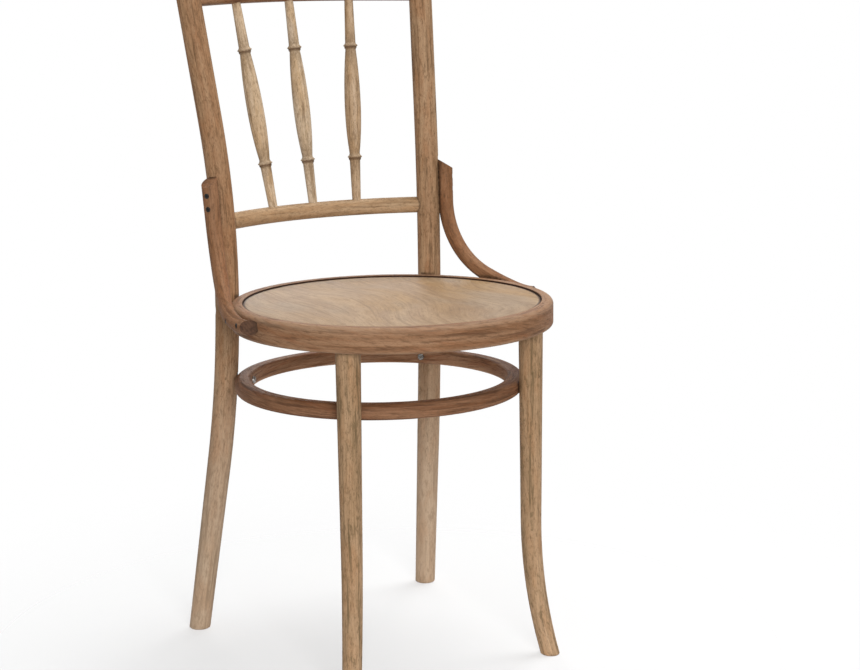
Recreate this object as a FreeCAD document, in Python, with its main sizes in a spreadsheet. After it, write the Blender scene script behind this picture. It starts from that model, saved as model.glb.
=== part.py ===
# Bentwood bistro chair: two tall back posts, two front legs, a bent seat ring with a plywood
# panel, a bent stretcher ring, two bent arms, and a back of two bowed rails with turned spindles.
# Millimetres. +Z is up, the chair faces -Y, and the origin is on the floor under its middle.
import FreeCAD, Part
import math
import os
import Sketcher

V = FreeCAD.Vector
Rotation = FreeCAD.Rotation
Placement = FreeCAD.Placement
UP = V(0, 0, 1)
SIDES = (("left", -1), ("right", 1))
FOOT_WASTE = 5.0  # how far a leg is made past the floor before it is sawn level
RUN_OUT = 10.0  # how far a drill or a cutter runs past the wood

doc = FreeCAD.newDocument("bentwood_bistro_chair")


# The driving sizes.
SIZES = {
    "seat_height": 463.0,
    "seat_radius": 205.0,
    "seat_ring_height": 32.0,
    "seat_ring_width": 45.0,
    "seat_rim_width": 15.5,
    "seat_top_rounding": 6.0,
    "seat_bottom_rounding": 4.0,
    "seat_inner_rounding": 3.0,
    "rim_inner_rounding": 1.5,
    "panel_thickness": 5.0,
    "panel_recess": 2.0,
    "panel_gap": 0.5,
    "panel_edge_rounding": 0.8,
    "post_radius": 15.5,
    "post_foot_radius": 14.0,
    "post_seat_notch": 1.2,
    "post_place_angle": 45.3,
    "post_splay_angle": 67.0,
    "post_waist_above_seat": 17.0,
    "post_lower_bend": 1360.0,
    "post_lower_rake": 10.5,
    "post_upper_bend": 1110.0,
    "post_upper_rake": 11.0,
    "post_top_above_seat": 427.0,
    "post_top_rounding": 9.0,
    "front_leg_radius": 15.5,
    "front_foot_radius": 11.8,
    "front_leg_inset": 28.0,
    "front_leg_place_angle": 49.1,
    "front_leg_splay_angle": 52.0,
    "front_leg_bend_start": 180.0,
    "front_leg_bend": 640.0,
    "front_tenon_radius": 9.5,
    "front_tenon_length": 20.0,
    "foot_edge_bevel": 1.5,
    "stretcher_below_seat": 113.0,
    "stretcher_width": 20.0,
    "stretcher_depth": 21.0,
    "stretcher_outer_rounding": 7.5,
    "stretcher_inner_rounding": 4.0,
    "stretcher_notch": 0.5,
    "lower_rail_above_seat": 93.7,
    "lower_rail_radius": 10.8,
    "lower_rail_bow": 40.4,
    "lower_rail_tenon_radius": 7.0,
    "crest_below_post_top": 36.5,
    "crest_thickness": 19.0,
    "crest_bow": 54.0,
    "crest_half_depth_at_posts": 22.0,
    "crest_under_arch": 12.0,
    "crest_top_arch": 16.0,
    "crest_edge_rounding": 5.0,
    "crest_tenon_thickness": 10.0,
    "crest_tenon_height": 30.0,
    "rail_tenon_length": 10.0,
    "mortise_bottom": 1.0,
    "spindle_foot_spacing": 63.6,
    "spindle_top_spacing": 86.0,
    "spindle_tenon_radius": 4.5,
    "spindle_tenon_length": 10.0,
    "spindle_top_socket": 1.5,
    "spindle_end_radius": 5.8,
    "spindle_neck_radius": 7.1,
    "spindle_belly_radius": 11.0,
    "spindle_lip_radius": 9.6,
    "spindle_lip_thickness": 1.2,
    "spindle_groove_radius": 8.3,
    "spindle_bead_under": 4.4,
    "spindle_cove": 5.5,
    "spindle_lower_bead": 68.0,
    "spindle_belly_place": 138.0,
    "spindle_upper_bead": 219.5,
    "arm_radius": 10.4,
    "arm_end_radius": 9.0,
    "arm_flat": 1.1,
    "arm_top_above_seat": 149.0,
    "arm_leave_above_seat": 100.0,
    "arm_forward_angle": 31.8,
    "arm_top_bevel": 32.0,
    "arm_ring_seat": 1.5,
    "arm_first_angle": 21.0,
    "arm_first_above_seat": 3.4,
    "arm_second_angle": 7.6,
    "arm_second_above_seat": -10.8,
    "arm_end_angle": -3.7,
    "arm_end_above_seat": -11.8,
    "arm_end_bevel": 42.0,
    "arm_screw_radius": 2.0,
    "arm_screw_head_radius": 3.3,
    "arm_screw_head_depth": 3.0,
    "arm_screw_sink": 0.6,
    "arm_screw_length": 30.0,
    "screw_cross_width": 1.0,
    "screw_cross_depth": 1.5,
    "arm_screw_cross_length": 3.8,
    "upper_screw_below_arm_top": 17.0,
    "upper_screw_spacing": 17.0,
    "ring_screw_first_angle": 1.0,
    "ring_screw_second_angle": 10.0,
    "bolt_radius": 4.0,
    "bolt_head_radius": 7.5,
    "bolt_head_height": 3.0,
    "bolt_washer_radius": 8.0,
    "bolt_washer_thickness": 1.6,
    "bolt_nut_across_flats": 13.0,
    "bolt_nut_height": 6.5,
    "bolt_head_seat": 5.5,
    "bolt_washer_seat": 2.0,
    "bolt_seat_gap": 0.8,
    "bolt_end_past_nut": 3.0,
    "stretcher_screw_radius": 2.25,
    "stretcher_screw_head_radius": 4.5,
    "stretcher_screw_head_height": 3.2,
    "stretcher_screw_length": 42.0,
    "stretcher_screw_cross_length": 5.0,
    "fit_gap": 0.1,
}

sheet = doc.addObject("Spreadsheet::Sheet", "Sizes")
for row, (alias, value) in enumerate(SIZES.items(), start=1):
    sheet.set(f"A{row}", alias.replace("_", " "))
    sheet.set(f"B{row}", str(value))
    sheet.setAlias(f"B{row}", alias)
doc.recompute()


def size(alias):
    return float(sheet.get(alias))


# Heights that follow the seat, so that a higher or lower seat carries the rest of the chair along.
seat_underside = size("seat_height") - size("seat_ring_height")
rabbet_floor = size("seat_height") - size("panel_recess") - size("panel_thickness")
bolt_height = (seat_underside + rabbet_floor) / 2
waist_height = size("seat_height") + size("post_waist_above_seat")
post_top_height = size("seat_height") + size("post_top_above_seat")
stretcher_height = size("seat_height") - size("stretcher_below_seat")
lower_rail_height = size("seat_height") + size("lower_rail_above_seat")
crest_height = post_top_height - size("crest_below_post_top")
arm_top_height = size("seat_height") + size("arm_top_above_seat")
arm_leave_height = size("seat_height") + size("arm_leave_above_seat")


def arm_height(which):
    return size("seat_height") + size(f"arm_{which}_above_seat")


# Places worked out from the sizes, kept in a sheet of their own so that features can be bound to them.
places = doc.addObject("Spreadsheet::Sheet", "Places")
place_rows = iter(range(1, 2000))


def keep_place(alias, value):
    row = next(place_rows)
    places.set(f"A{row}", alias.replace("_", " "))
    places.set(f"B{row}", f"{value:.6f}")
    places.setAlias(f"B{row}", alias)


def turned(angle, radius, height):
    """A point around the seat's axis, its angle counted from +X towards the back."""
    a = math.radians(angle)
    return V(radius * math.cos(a), seat_y + radius * math.sin(a), height)


def mirrored(point, side):
    return V(side * point.x, point.y, point.z)


# How far the back post stands out of its waist, in its own upright plane, at a height, and its lean there.
def post_out(height):
    above = height >= waist_height
    bend = size("post_upper_bend" if above else "post_lower_bend")
    rake = math.radians(size("post_upper_rake" if above else "post_lower_rake"))
    rise = abs(height - waist_height)
    straight = rise - bend * math.sin(rake)
    if straight > 0:
        return bend * (1 - math.cos(rake)) + straight * math.tan(rake)
    return bend - math.sqrt(bend ** 2 - rise ** 2)


def post_lean(height):
    rise = height - waist_height
    bend = size("post_upper_bend" if rise >= 0 else "post_lower_bend")
    rake = math.radians(size("post_upper_rake" if rise >= 0 else "post_lower_rake"))
    lean = min(math.asin(min(abs(rise) / bend, 1)), rake)
    return math.copysign(lean, rise)


def front_out(height):
    drop = max(size("front_leg_bend_start") - height, 0)
    return size("front_leg_bend") - math.sqrt(size("front_leg_bend") ** 2 - drop ** 2)


def front_radius(height):
    """The front leg tapers evenly from the seat ring to its foot."""
    share = height / seat_underside
    return size("front_foot_radius") + share * (size("front_leg_radius") - size("front_foot_radius"))


post_splay = math.radians(size("post_splay_angle"))
post_plane = V(math.cos(post_splay), math.sin(post_splay), 0)
front_splay = math.radians(size("front_leg_splay_angle"))
front_plane = V(math.cos(front_splay), -math.sin(front_splay), 0)
rabbet_radius = size("seat_radius") - size("seat_rim_width")
ring_hole_radius = size("seat_radius") - size("seat_ring_width")

# The origin is under the middle of the chair, from the seat's front edge to the back of the feet or of
# the leaning crest rail, whichever reaches further.
post_reach = size("seat_radius") + size("post_radius") - size("post_seat_notch")
post_place = math.radians(size("post_place_angle"))
crest_lean = math.atan(math.tan(math.radians(size("post_upper_rake"))) * post_plane.y)
crest_round = size("crest_edge_rounding")
crest_back_reach = (post_out(crest_height) * post_plane.y + crest_round
                    + (size("crest_bow") + size("crest_thickness") / 2 - crest_round) * math.cos(crest_lean)
                    + (size("crest_half_depth_at_posts") + size("crest_top_arch") - crest_round)
                    * math.sin(crest_lean))
foot_back_reach = post_out(0) * post_plane.y + size("post_foot_radius")
back_reach = post_reach * math.cos(post_place) + max(crest_back_reach, foot_back_reach)
seat_y = (size("seat_radius") - back_reach) / 2
front_place_radius = size("seat_radius") - size("front_leg_inset")
seat_axis = V(0, seat_y, 0)
post_foot = V(post_reach * math.sin(post_place), seat_y + post_reach * math.cos(post_place), 0)
front_place = math.radians(size("front_leg_place_angle"))
front_foot = V(front_place_radius * math.sin(front_place),
               seat_y - front_place_radius * math.cos(front_place), 0)


def post_point(height):
    return post_foot + post_plane * post_out(height) + UP * height


def post_direction(height):
    lean = post_lean(height)
    return post_plane * math.sin(lean) + UP * math.cos(lean)


def front_point(height):
    return front_foot + front_plane * front_out(height) + UP * height


# The stretcher ring touches all four legs, which settles its radius and how far back it stands.
def touching_ring():
    front = front_point(stretcher_height)
    back = post_point(stretcher_height)
    low, high = front.y, back.y
    for _ in range(60):
        middle = (low + high) / 2
        to_front = math.hypot(front.x, front.y - middle) - front_radius(stretcher_height)
        to_back = math.hypot(back.x, back.y - middle) - size("post_radius")
        low, high = (middle, high) if to_back > to_front else (low, middle)
    return middle, to_front + size("stretcher_notch")


stretcher_y, stretcher_radius = touching_ring()
stretcher_bore = stretcher_radius - size("stretcher_depth")


# Bows of the two back rails: an arc between the posts' axes, bowed backwards.
def bow_radius(half_span, bow):
    return (half_span ** 2 + bow ** 2) / (2 * bow)


def bow_depth(half_span, bow, x):
    radius = bow_radius(half_span, bow)
    return bow - radius + math.sqrt(radius ** 2 - x ** 2)


rail_post = post_point(lower_rail_height)
rail_bend = bow_radius(rail_post.x, size("lower_rail_bow"))
crest_post = post_point(crest_height)
crest_bend = bow_radius(crest_post.x, size("crest_bow"))
crest_back = V(0, math.cos(crest_lean), -math.sin(crest_lean))
crest_up = V(0, math.sin(crest_lean), math.cos(crest_lean))
crest_frame = Placement(V(0, crest_post.y, crest_post.z), Rotation(V(1, 0, 0), crest_back, crest_up, "ZXY"))

for alias, value in (("seat_axis_y", seat_y), ("rabbet_radius", rabbet_radius),
                     ("ring_hole_radius", ring_hole_radius), ("seat_underside", seat_underside),
                     ("rabbet_floor", rabbet_floor), ("waist_height", waist_height),
                     ("post_top_height", post_top_height), ("stretcher_height", stretcher_height),
                     ("stretcher_axis_y", stretcher_y), ("stretcher_radius", stretcher_radius),
                     ("stretcher_bore", stretcher_bore), ("rail_bend", rail_bend),
                     ("crest_bend", crest_bend)):
    keep_place(alias, value)
doc.recompute()


# Helpers of the document: bodies, sketches on placed planes, and drilled or planed cuts.
def bound(thing, **expressions):
    for prop, expression in expressions.items():
        thing.setExpression(prop.replace("__", "."), expression)
    return thing


def make_body(name):
    made = doc.addObject("PartDesign::Body", name)
    made.Label = name
    return made


def set_on(thing, body, at, rotation):
    """Attach to the body's floor plane, at a point that is kept in the sheet of places."""
    floor = next(f for f in body.Origin.OriginFeatures if f.Role == "XY_Plane")
    thing.AttachmentSupport = [(floor, "")]
    thing.MapMode = "FlatFace"
    thing.AttachmentOffset = Placement(at, rotation)
    for axis in "xyz":
        alias = f"{thing.Name.lower()}_{axis}"
        keep_place(alias, getattr(at, axis))
        thing.setExpression(f"AttachmentOffset.Base.{axis}", f"Places.{alias}")
    doc.recompute([places])
    return thing


def make_sketch(body, name, at, rotation):
    return set_on(body.newObject("Sketcher::SketchObject", name), body, at, rotation)


def upright(across):
    """A plane that stands up: its own X runs along `across`, its own Y runs up."""
    return Rotation(across, UP, across.cross(UP), "ZXY")


def square_to(direction):
    return Rotation(UP, direction)


def cylinder(body, name, at, direction, radius, height, kind="Subtractive"):
    made = body.newObject(f"PartDesign::{kind}Cylinder", name)
    set_on(made, body, at, square_to(direction))
    return bound(made, Radius=radius, Height=height)


def box(body, name, corner, rotation, length, width, height, kind="Subtractive"):
    made = body.newObject(f"PartDesign::{kind}Box", name)
    set_on(made, body, corner, rotation)
    return bound(made, Length=length, Width=width, Height=height)


def circle_section(body, name, at, direction, radius):
    drawn = make_sketch(body, name, at, square_to(direction))
    drawn.addGeometry(Part.Circle(V(), UP, 10))
    drawn.addConstraint(Sketcher.Constraint("Coincident", 0, 3, -1, 1))
    drawn.addConstraint(Sketcher.Constraint("Radius", 0, 10))
    drawn.setExpression("Constraints[1]", radius)
    return drawn


def pipe(body, name, path, sections):
    made = body.newObject("PartDesign::AdditivePipe", name)
    made.Profile = sections[0]
    made.Spine = (path, [f"Edge{i + 1}" for i in range(path.GeometryCount)])
    if len(sections) > 1:
        made.Sections = sections[1:]
        made.Transformation = "Multisection"
    return made


def edges_where(shape, test):
    return [f"Edge{i + 1}" for i, edge in enumerate(shape.Edges) if test(edge)]


def dress(body, kind, name, base, test, **expressions):
    """A fillet or chamfer on the edges of `base` that pass the test."""
    doc.recompute([base])
    made = body.newObject(f"PartDesign::{kind}", name)
    made.Base = (base, edges_where(base.Shape, test))
    return bound(made, **expressions)


def flat_at(height):
    def test(edge):
        ends = [edge.valueAt(edge.FirstParameter + share * (edge.LastParameter - edge.FirstParameter))
                for share in (0.1, 0.4, 0.7)]
        return all(abs(point.z - height) < 0.01 for point in ends)
    return test


def circle_at(radius, height):
    def test(edge):
        curve = edge.Curve
        return (curve.TypeId == "Part::GeomCircle" and abs(curve.Radius - radius) < 0.01
                and abs(curve.Center.z - height) < 0.01)
    return test


def polygon(drawn, points):
    """A closed outline of straight lines, held where it is drawn by its corners' distances."""
    count = len(points)
    for i, (x, y) in enumerate(points):
        nx, ny = points[(i + 1) % count]
        drawn.addGeometry(Part.LineSegment(V(x, y, 0), V(nx, ny, 0)))
    for i in range(count):
        drawn.addConstraint(Sketcher.Constraint("Coincident", i, 2, (i + 1) % count, 1))
    return drawn


def corner_sizes(drawn, corners):
    """Bind corners of an outline to expressions: (line, x expression or None, y expression or None)."""
    for line, x_size, y_size in corners:
        point = drawn.getPoint(line, 1)
        for word, value, expression in (("DistanceX", point.x, x_size), ("DistanceY", point.y, y_size)):
            if expression is None:
                continue
            index = drawn.addConstraint(Sketcher.Constraint(word, -1, 1, line, 1, value))
            drawn.setExpression(f"Constraints[{index}]", expression)


# Seat ring: one strip bent to a circle, with a rabbet turned in its top for the panel.
def make_seat_ring():
    ring = make_body("seat_ring")
    outline = [(ring_hole_radius, seat_underside), (size("seat_radius"), seat_underside),
               (size("seat_radius"), size("seat_height")), (rabbet_radius, size("seat_height")),
               (rabbet_radius, rabbet_floor), (ring_hole_radius, rabbet_floor)]
    section = polygon(make_sketch(ring, "seat_ring_section", seat_axis, upright(V(1, 0, 0))), outline)
    for line, word in ((0, "Horizontal"), (1, "Vertical"), (2, "Horizontal"), (3, "Vertical"),
                       (4, "Horizontal"), (5, "Vertical")):
        section.addConstraint(Sketcher.Constraint(word, line))
    corner_sizes(section, [(0, "Places.ring_hole_radius", "Places.seat_underside"),
                           (2, "Sizes.seat_radius", "Sizes.seat_height"),
                           (4, "Places.rabbet_radius", "Places.rabbet_floor")])
    turned_ring = ring.newObject("PartDesign::Revolution", "seat_ring_turned")
    turned_ring.Profile = section
    turned_ring.ReferenceAxis = (section, ["V_Axis"])
    turned_ring.Angle = 360
    top = dress(ring, "Fillet", "seat_ring_top_edge", turned_ring,
                circle_at(size("seat_radius"), size("seat_height")), Radius="Sizes.seat_top_rounding")
    bottom = dress(ring, "Fillet", "seat_ring_bottom_edge", top,
                   circle_at(size("seat_radius"), seat_underside), Radius="Sizes.seat_bottom_rounding")
    inner = dress(ring, "Fillet", "seat_ring_inner_edge", bottom,
                  circle_at(ring_hole_radius, seat_underside), Radius="Sizes.seat_inner_rounding")
    dress(ring, "Fillet", "seat_ring_rim_edge", inner,
          circle_at(rabbet_radius, size("seat_height")), Radius="Sizes.rim_inner_rounding")
    for side_name, side in SIDES:
        cylinder(ring, f"{side_name}_leg_mortise", mirrored(front_point(seat_underside), side), UP,
                 "Sizes.front_tenon_radius + Sizes.fit_gap", "Sizes.front_tenon_length + 2 * Sizes.fit_gap")
        out = bolt_direction(side)
        hole_start = bolt_point(side, ring_hole_radius - RUN_OUT)
        cylinder(ring, f"{side_name}_bolt_hole", hole_start, out, "Sizes.bolt_radius + Sizes.fit_gap",
                 f"Sizes.seat_ring_width + {2 * RUN_OUT}")
        cylinder(ring, f"{side_name}_washer_seat", hole_start, out,
                 "Sizes.bolt_washer_radius + Sizes.bolt_seat_gap", f"{RUN_OUT} + Sizes.bolt_washer_seat")
        for which in ("first", "second"):
            at, inward = ring_screw(which, side)
            pilot(ring, f"{side_name}_{which}_arm_pilot", at, inward)
    return ring


def bolt_direction(side):
    return V(side * math.sin(post_place), math.cos(post_place), 0)


def bolt_point(side, radius):
    return seat_axis + bolt_direction(side) * radius + UP * bolt_height


# Seat panel: a plywood disc that drops into the ring's rabbet.
def make_seat_panel():
    panel = make_body("seat_panel")
    disc = make_sketch(panel, "panel_outline", seat_axis + UP * rabbet_floor, Rotation())
    disc.addGeometry(Part.Circle(V(), UP, 100))
    disc.addConstraint(Sketcher.Constraint("Coincident", 0, 3, -1, 1))
    disc.addConstraint(Sketcher.Constraint("Radius", 0, 100))
    disc.setExpression("Constraints[1]", "Places.rabbet_radius - Sizes.panel_gap")
    pad = panel.newObject("PartDesign::Pad", "panel_sheet")
    pad.Profile = disc
    bound(pad, Length="Sizes.panel_thickness")
    dress(panel, "Fillet", "panel_top_edge", pad,
          circle_at(rabbet_radius - size("panel_gap"), size("seat_height") - size("panel_recess")),
          Radius="Sizes.panel_edge_rounding")
    return panel


# Back post: one bent rod from the floor to the top of the back. An arc leads up to the waist beside
# the seat and another out of it to a straight top; the straight foot below them tapers to the floor.
def make_back_post(side_name, side):
    post = make_body(f"{side_name}_back_post")
    plane = mirrored(post_plane, side)
    lower, upper = size("post_lower_bend"), size("post_upper_bend")
    lower_rake, upper_rake = math.radians(size("post_lower_rake")), math.radians(size("post_upper_rake"))
    foot_joint = waist_height - lower * math.sin(lower_rake)
    top_joint = V(upper * (1 - math.cos(upper_rake)), waist_height + upper * math.sin(upper_rake), 0)
    path = make_sketch(post, f"{side_name}_post_path", mirrored(post_foot, side), upright(plane))
    path.addGeometry(Part.ArcOfCircle(Part.Circle(V(lower, waist_height, 0), UP, lower),
                                      math.pi, math.pi + lower_rake))
    path.addGeometry(Part.ArcOfCircle(Part.Circle(V(upper, waist_height, 0), UP, upper),
                                      math.pi - upper_rake, math.pi))
    path.addGeometry(Part.LineSegment(top_joint, V(post_out(post_top_height), post_top_height, 0)))
    lower_arc, upper_arc, top_line = range(3)
    for parts in ((lower_arc, 1, upper_arc, 2), (upper_arc, 1, top_line, 1)):
        path.addConstraint(Sketcher.Constraint("Tangent", *parts))
    path.addConstraint(Sketcher.Constraint("PointOnObject", lower_arc, 1, -2))
    path.addConstraint(Sketcher.Constraint("Horizontal", lower_arc, 3, lower_arc, 1))
    keep_place(f"{side_name}_post_foot_joint", foot_joint)
    keep_place(f"{side_name}_post_top_out", post_out(post_top_height))
    doc.recompute([places])
    for word, where, value, expression in (
            ("Radius", (lower_arc,), lower, "Sizes.post_lower_bend"),
            ("Radius", (upper_arc,), upper, "Sizes.post_upper_bend"),
            ("DistanceY", (-1, 1, lower_arc, 1), waist_height, "Places.waist_height"),
            ("DistanceY", (-1, 1, lower_arc, 2), foot_joint, f"Places.{side_name}_post_foot_joint"),
            ("DistanceY", (-1, 1, top_line, 2), post_top_height, "Places.post_top_height"),
            ("DistanceX", (-1, 1, top_line, 2), post_out(post_top_height), f"Places.{side_name}_post_top_out")):
        index = path.addConstraint(Sketcher.Constraint(word, *where, value))
        path.setExpression(f"Constraints[{index}]", expression)
    section = circle_section(post, f"{side_name}_post_section", mirrored(post_point(foot_joint), side),
                             mirrored(post_direction(foot_joint), side), "Sizes.post_radius")
    pipe(post, f"{side_name}_post_bend", path, [section])

    waste = post_point(-FOOT_WASTE)
    keep_place(f"{side_name}_post_foot_length", (post_point(foot_joint) - waste).Length)
    foot = post.newObject("PartDesign::AdditiveCone", f"{side_name}_post_foot")
    set_on(foot, post, mirrored(waste, side), square_to(mirrored(post_direction(foot_joint), side)))
    rod = bound(foot, Radius1="Sizes.post_foot_radius", Radius2="Sizes.post_radius",
                Height=f"Places.{side_name}_post_foot_length")
    doc.recompute([rod])
    rounded = post.newObject("PartDesign::Fillet", f"{side_name}_post_top_round")
    highest = max(rod.Shape.Faces, key=lambda face: face.CenterOfMass.z)
    rounded.Base = (rod, edges_where(rod.Shape, lambda edge: any(edge.isSame(e) for e in highest.Edges)))
    bound(rounded, Radius="Sizes.post_top_rounding")
    stand_on_floor(post, side_name + "_post", mirrored(post_point(0), side))

    # Seats and holes in the post: seat ring, stretcher ring, rails, arm and bolt.
    cylinder(post, f"{side_name}_post_ring_seat", seat_axis + UP * seat_underside, UP,
             "Sizes.seat_radius + Sizes.fit_gap", "Sizes.seat_ring_height")
    stretcher_seat(post, side_name + "_post")
    out = bolt_direction(side)
    tip = post_reach + size("post_radius")
    cylinder(post, f"{side_name}_post_bolt_hole", bolt_point(side, size("seat_radius") - RUN_OUT / 2), out,
             "Sizes.bolt_radius + 2 * Sizes.fit_gap", f"2 * Sizes.post_radius + {1.2 * RUN_OUT}")
    cylinder(post, f"{side_name}_post_bolt_head_seat",
             bolt_point(side, tip - size("bolt_head_seat")), out,
             "Sizes.bolt_head_radius + Sizes.bolt_seat_gap", f"Sizes.bolt_head_seat + {RUN_OUT}")
    mortise_start, inward = rail_tenon_start(side)
    cylinder(post, f"{side_name}_post_rail_mortise", mortise_start + inward * (-size("fit_gap")), inward,
             "Sizes.lower_rail_tenon_radius + Sizes.fit_gap",
             "Sizes.post_radius + Sizes.rail_tenon_length + 2")
    corner, turn = crest_tenon_corner(side, size("fit_gap"))
    box(post, f"{side_name}_post_crest_mortise", corner, turn,
        "Sizes.post_radius + Sizes.rail_tenon_length + 2 * Sizes.fit_gap",
        "Sizes.crest_tenon_thickness + 2 * Sizes.fit_gap", "Sizes.crest_tenon_height + 2 * Sizes.fit_gap")
    arm_flat_on_post(post, side_name, side)
    for at, inward in upper_screws(side):
        pilot(post, f"{side_name}_post_arm_pilot_{round(at.z)}", at, inward)
    at, outward = stretcher_screw(post_point(stretcher_height), side)
    screw_hole(post, f"{side_name}_post_stretcher_pilot", at, outward)
    return post


def stand_on_floor(leg, name, foot):
    """Saw the rod off level with the floor and break the foot's edge."""
    reach = 80.0
    corner = foot - V(reach, reach, reach)
    sawn = box(leg, f"{name}_floor_cut", corner, Rotation(), f"{2 * reach}", f"{2 * reach}", f"{reach}")
    dress(leg, "Chamfer", f"{name}_foot_edge", sawn, flat_at(0), Size="Sizes.foot_edge_bevel")


# Front leg: a tapered rod, straight below the seat, that bends outwards to its foot and has a
# round tenon glued into the underside of the seat ring.
def make_front_leg(side_name, side):
    leg = make_body(f"{side_name}_front_leg")
    plane = mirrored(front_plane, side)
    start, bend = size("front_leg_bend_start"), size("front_leg_bend")
    below_floor = -2 * FOOT_WASTE
    sweep = math.asin((start - below_floor) / bend)
    path = make_sketch(leg, f"{side_name}_leg_path", mirrored(front_foot, side), upright(plane))
    path.addGeometry(Part.LineSegment(V(0, seat_underside, 0), V(0, start, 0)))
    path.addGeometry(Part.ArcOfCircle(Part.Circle(V(bend, start, 0), UP, bend), math.pi, math.pi + sweep))
    line, arc = 0, 1
    path.addConstraint(Sketcher.Constraint("Tangent", line, 2, arc, 1))
    path.addConstraint(Sketcher.Constraint("PointOnObject", line, 1, -2))
    path.addConstraint(Sketcher.Constraint("Vertical", line))
    for word, where, value, expression in (
            ("DistanceY", (-1, 1, line, 1), seat_underside, "Places.seat_underside"),
            ("DistanceY", (-1, 1, line, 2), start, "Sizes.front_leg_bend_start"),
            ("Radius", (arc,), bend, "Sizes.front_leg_bend"),
            ("DistanceY", (-1, 1, arc, 2), below_floor, f"{below_floor}")):
        index = path.addConstraint(Sketcher.Constraint(word, *where, value))
        path.setExpression(f"Constraints[{index}]", expression)
    keep_place(f"{side_name}_leg_bend_radius", front_radius(start))
    doc.recompute([places])

    def section(where, height, radius, direction):
        return circle_section(leg, f"{side_name}_leg_{where}", mirrored(front_point(height), side),
                              direction, radius)

    foot_direction = mirrored(front_plane * math.sin(sweep) - UP * math.cos(sweep), side)
    sections = [section("top", seat_underside, "Sizes.front_leg_radius", -UP),
                section("bend", start, f"Places.{side_name}_leg_bend_radius", -UP),
                section("foot", below_floor, "Sizes.front_foot_radius", foot_direction)]
    pipe(leg, f"{side_name}_leg_rod", path, sections)
    stand_on_floor(leg, side_name + "_leg", mirrored(front_point(0), side))
    root = 1.0
    cylinder(leg, f"{side_name}_leg_tenon", mirrored(front_point(seat_underside - root), side), UP,
             "Sizes.front_tenon_radius", f"Sizes.front_tenon_length + {root}", kind="Additive")
    stretcher_seat(leg, side_name + "_leg")
    at, outward = stretcher_screw(front_point(stretcher_height), side)
    screw_hole(leg, f"{side_name}_leg_stretcher_pilot", at, outward)
    return leg


# Stretcher ring: a smaller bent hoop screwed to the inner sides of the four legs.
def make_stretcher_ring():
    ring = make_body("stretcher_ring")
    low = stretcher_height - size("stretcher_width") / 2
    high = low + size("stretcher_width")
    outline = [(stretcher_bore, low), (stretcher_radius, low), (stretcher_radius, high), (stretcher_bore, high)]
    section = polygon(make_sketch(ring, "stretcher_section", V(0, stretcher_y, 0), upright(V(1, 0, 0))), outline)
    for line, word in ((0, "Horizontal"), (1, "Vertical"), (2, "Horizontal"), (3, "Vertical")):
        section.addConstraint(Sketcher.Constraint(word, line))
    corner_sizes(section, [(0, "Places.stretcher_bore", "Places.stretcher_height - Sizes.stretcher_width / 2"),
                           (2, "Places.stretcher_radius", "Places.stretcher_height + Sizes.stretcher_width / 2")])
    hoop = ring.newObject("PartDesign::Revolution", "stretcher_hoop")
    hoop.Profile = section
    hoop.ReferenceAxis = (section, ["V_Axis"])
    hoop.Angle = 360
    outer = dress(ring, "Fillet", "stretcher_outer_edges", hoop,
                  lambda edge: edge.Curve.TypeId == "Part::GeomCircle"
                  and abs(edge.Curve.Radius - stretcher_radius) < 0.01,
                  Radius="Sizes.stretcher_outer_rounding")
    dress(ring, "Fillet", "stretcher_inner_edges", outer,
          lambda edge: edge.Curve.TypeId == "Part::GeomCircle"
          and abs(edge.Curve.Radius - stretcher_bore) < 0.01,
          Radius="Sizes.stretcher_inner_rounding")
    for side_name, side in SIDES:
        for where, leg_point in (("back", post_point), ("front", front_point)):
            at, outward = stretcher_screw(leg_point(stretcher_height), side)
            screw_hole(ring, f"{side_name}_{where}_stretcher_hole", at, outward)
    return ring


def stretcher_seat(leg, name):
    """A shallow hollow in the leg's inner side, worked to the stretcher ring's outer face."""
    low = stretcher_height - size("stretcher_width") / 2
    cylinder(leg, f"{name}_stretcher_seat", V(0, stretcher_y, low), UP, "Places.stretcher_radius",
             "Sizes.stretcher_width")


def stretcher_screw(leg_point, side):
    """Where a stretcher screw's head rests on the ring's bore, and the way it runs into the leg."""
    outward = V(leg_point.x * side, leg_point.y - stretcher_y, 0).normalize()
    return V(0, stretcher_y, leg_point.z) + outward * (stretcher_bore - size("fit_gap")), outward


def screw_hole(body, name, at, direction):
    cylinder(body, name, at, direction, "Sizes.stretcher_screw_radius + Sizes.fit_gap / 2",
             "Sizes.stretcher_screw_length + 1")


# Lower back rail: a round rod bent to an arc, coped to the posts, with round tenons into them.
def rail_tenon_start(side):
    along = V(side * rail_bend_cosine, -rail_bend_sine, 0)
    return mirrored(rail_post, side) - along * size("post_radius"), along


rail_bend_sine = rail_post.x / rail_bend
rail_bend_cosine = math.sqrt(1 - rail_bend_sine ** 2)
spindle_shoulder = math.sqrt(size("lower_rail_radius") ** 2 - size("spindle_end_radius") ** 2)


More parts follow.
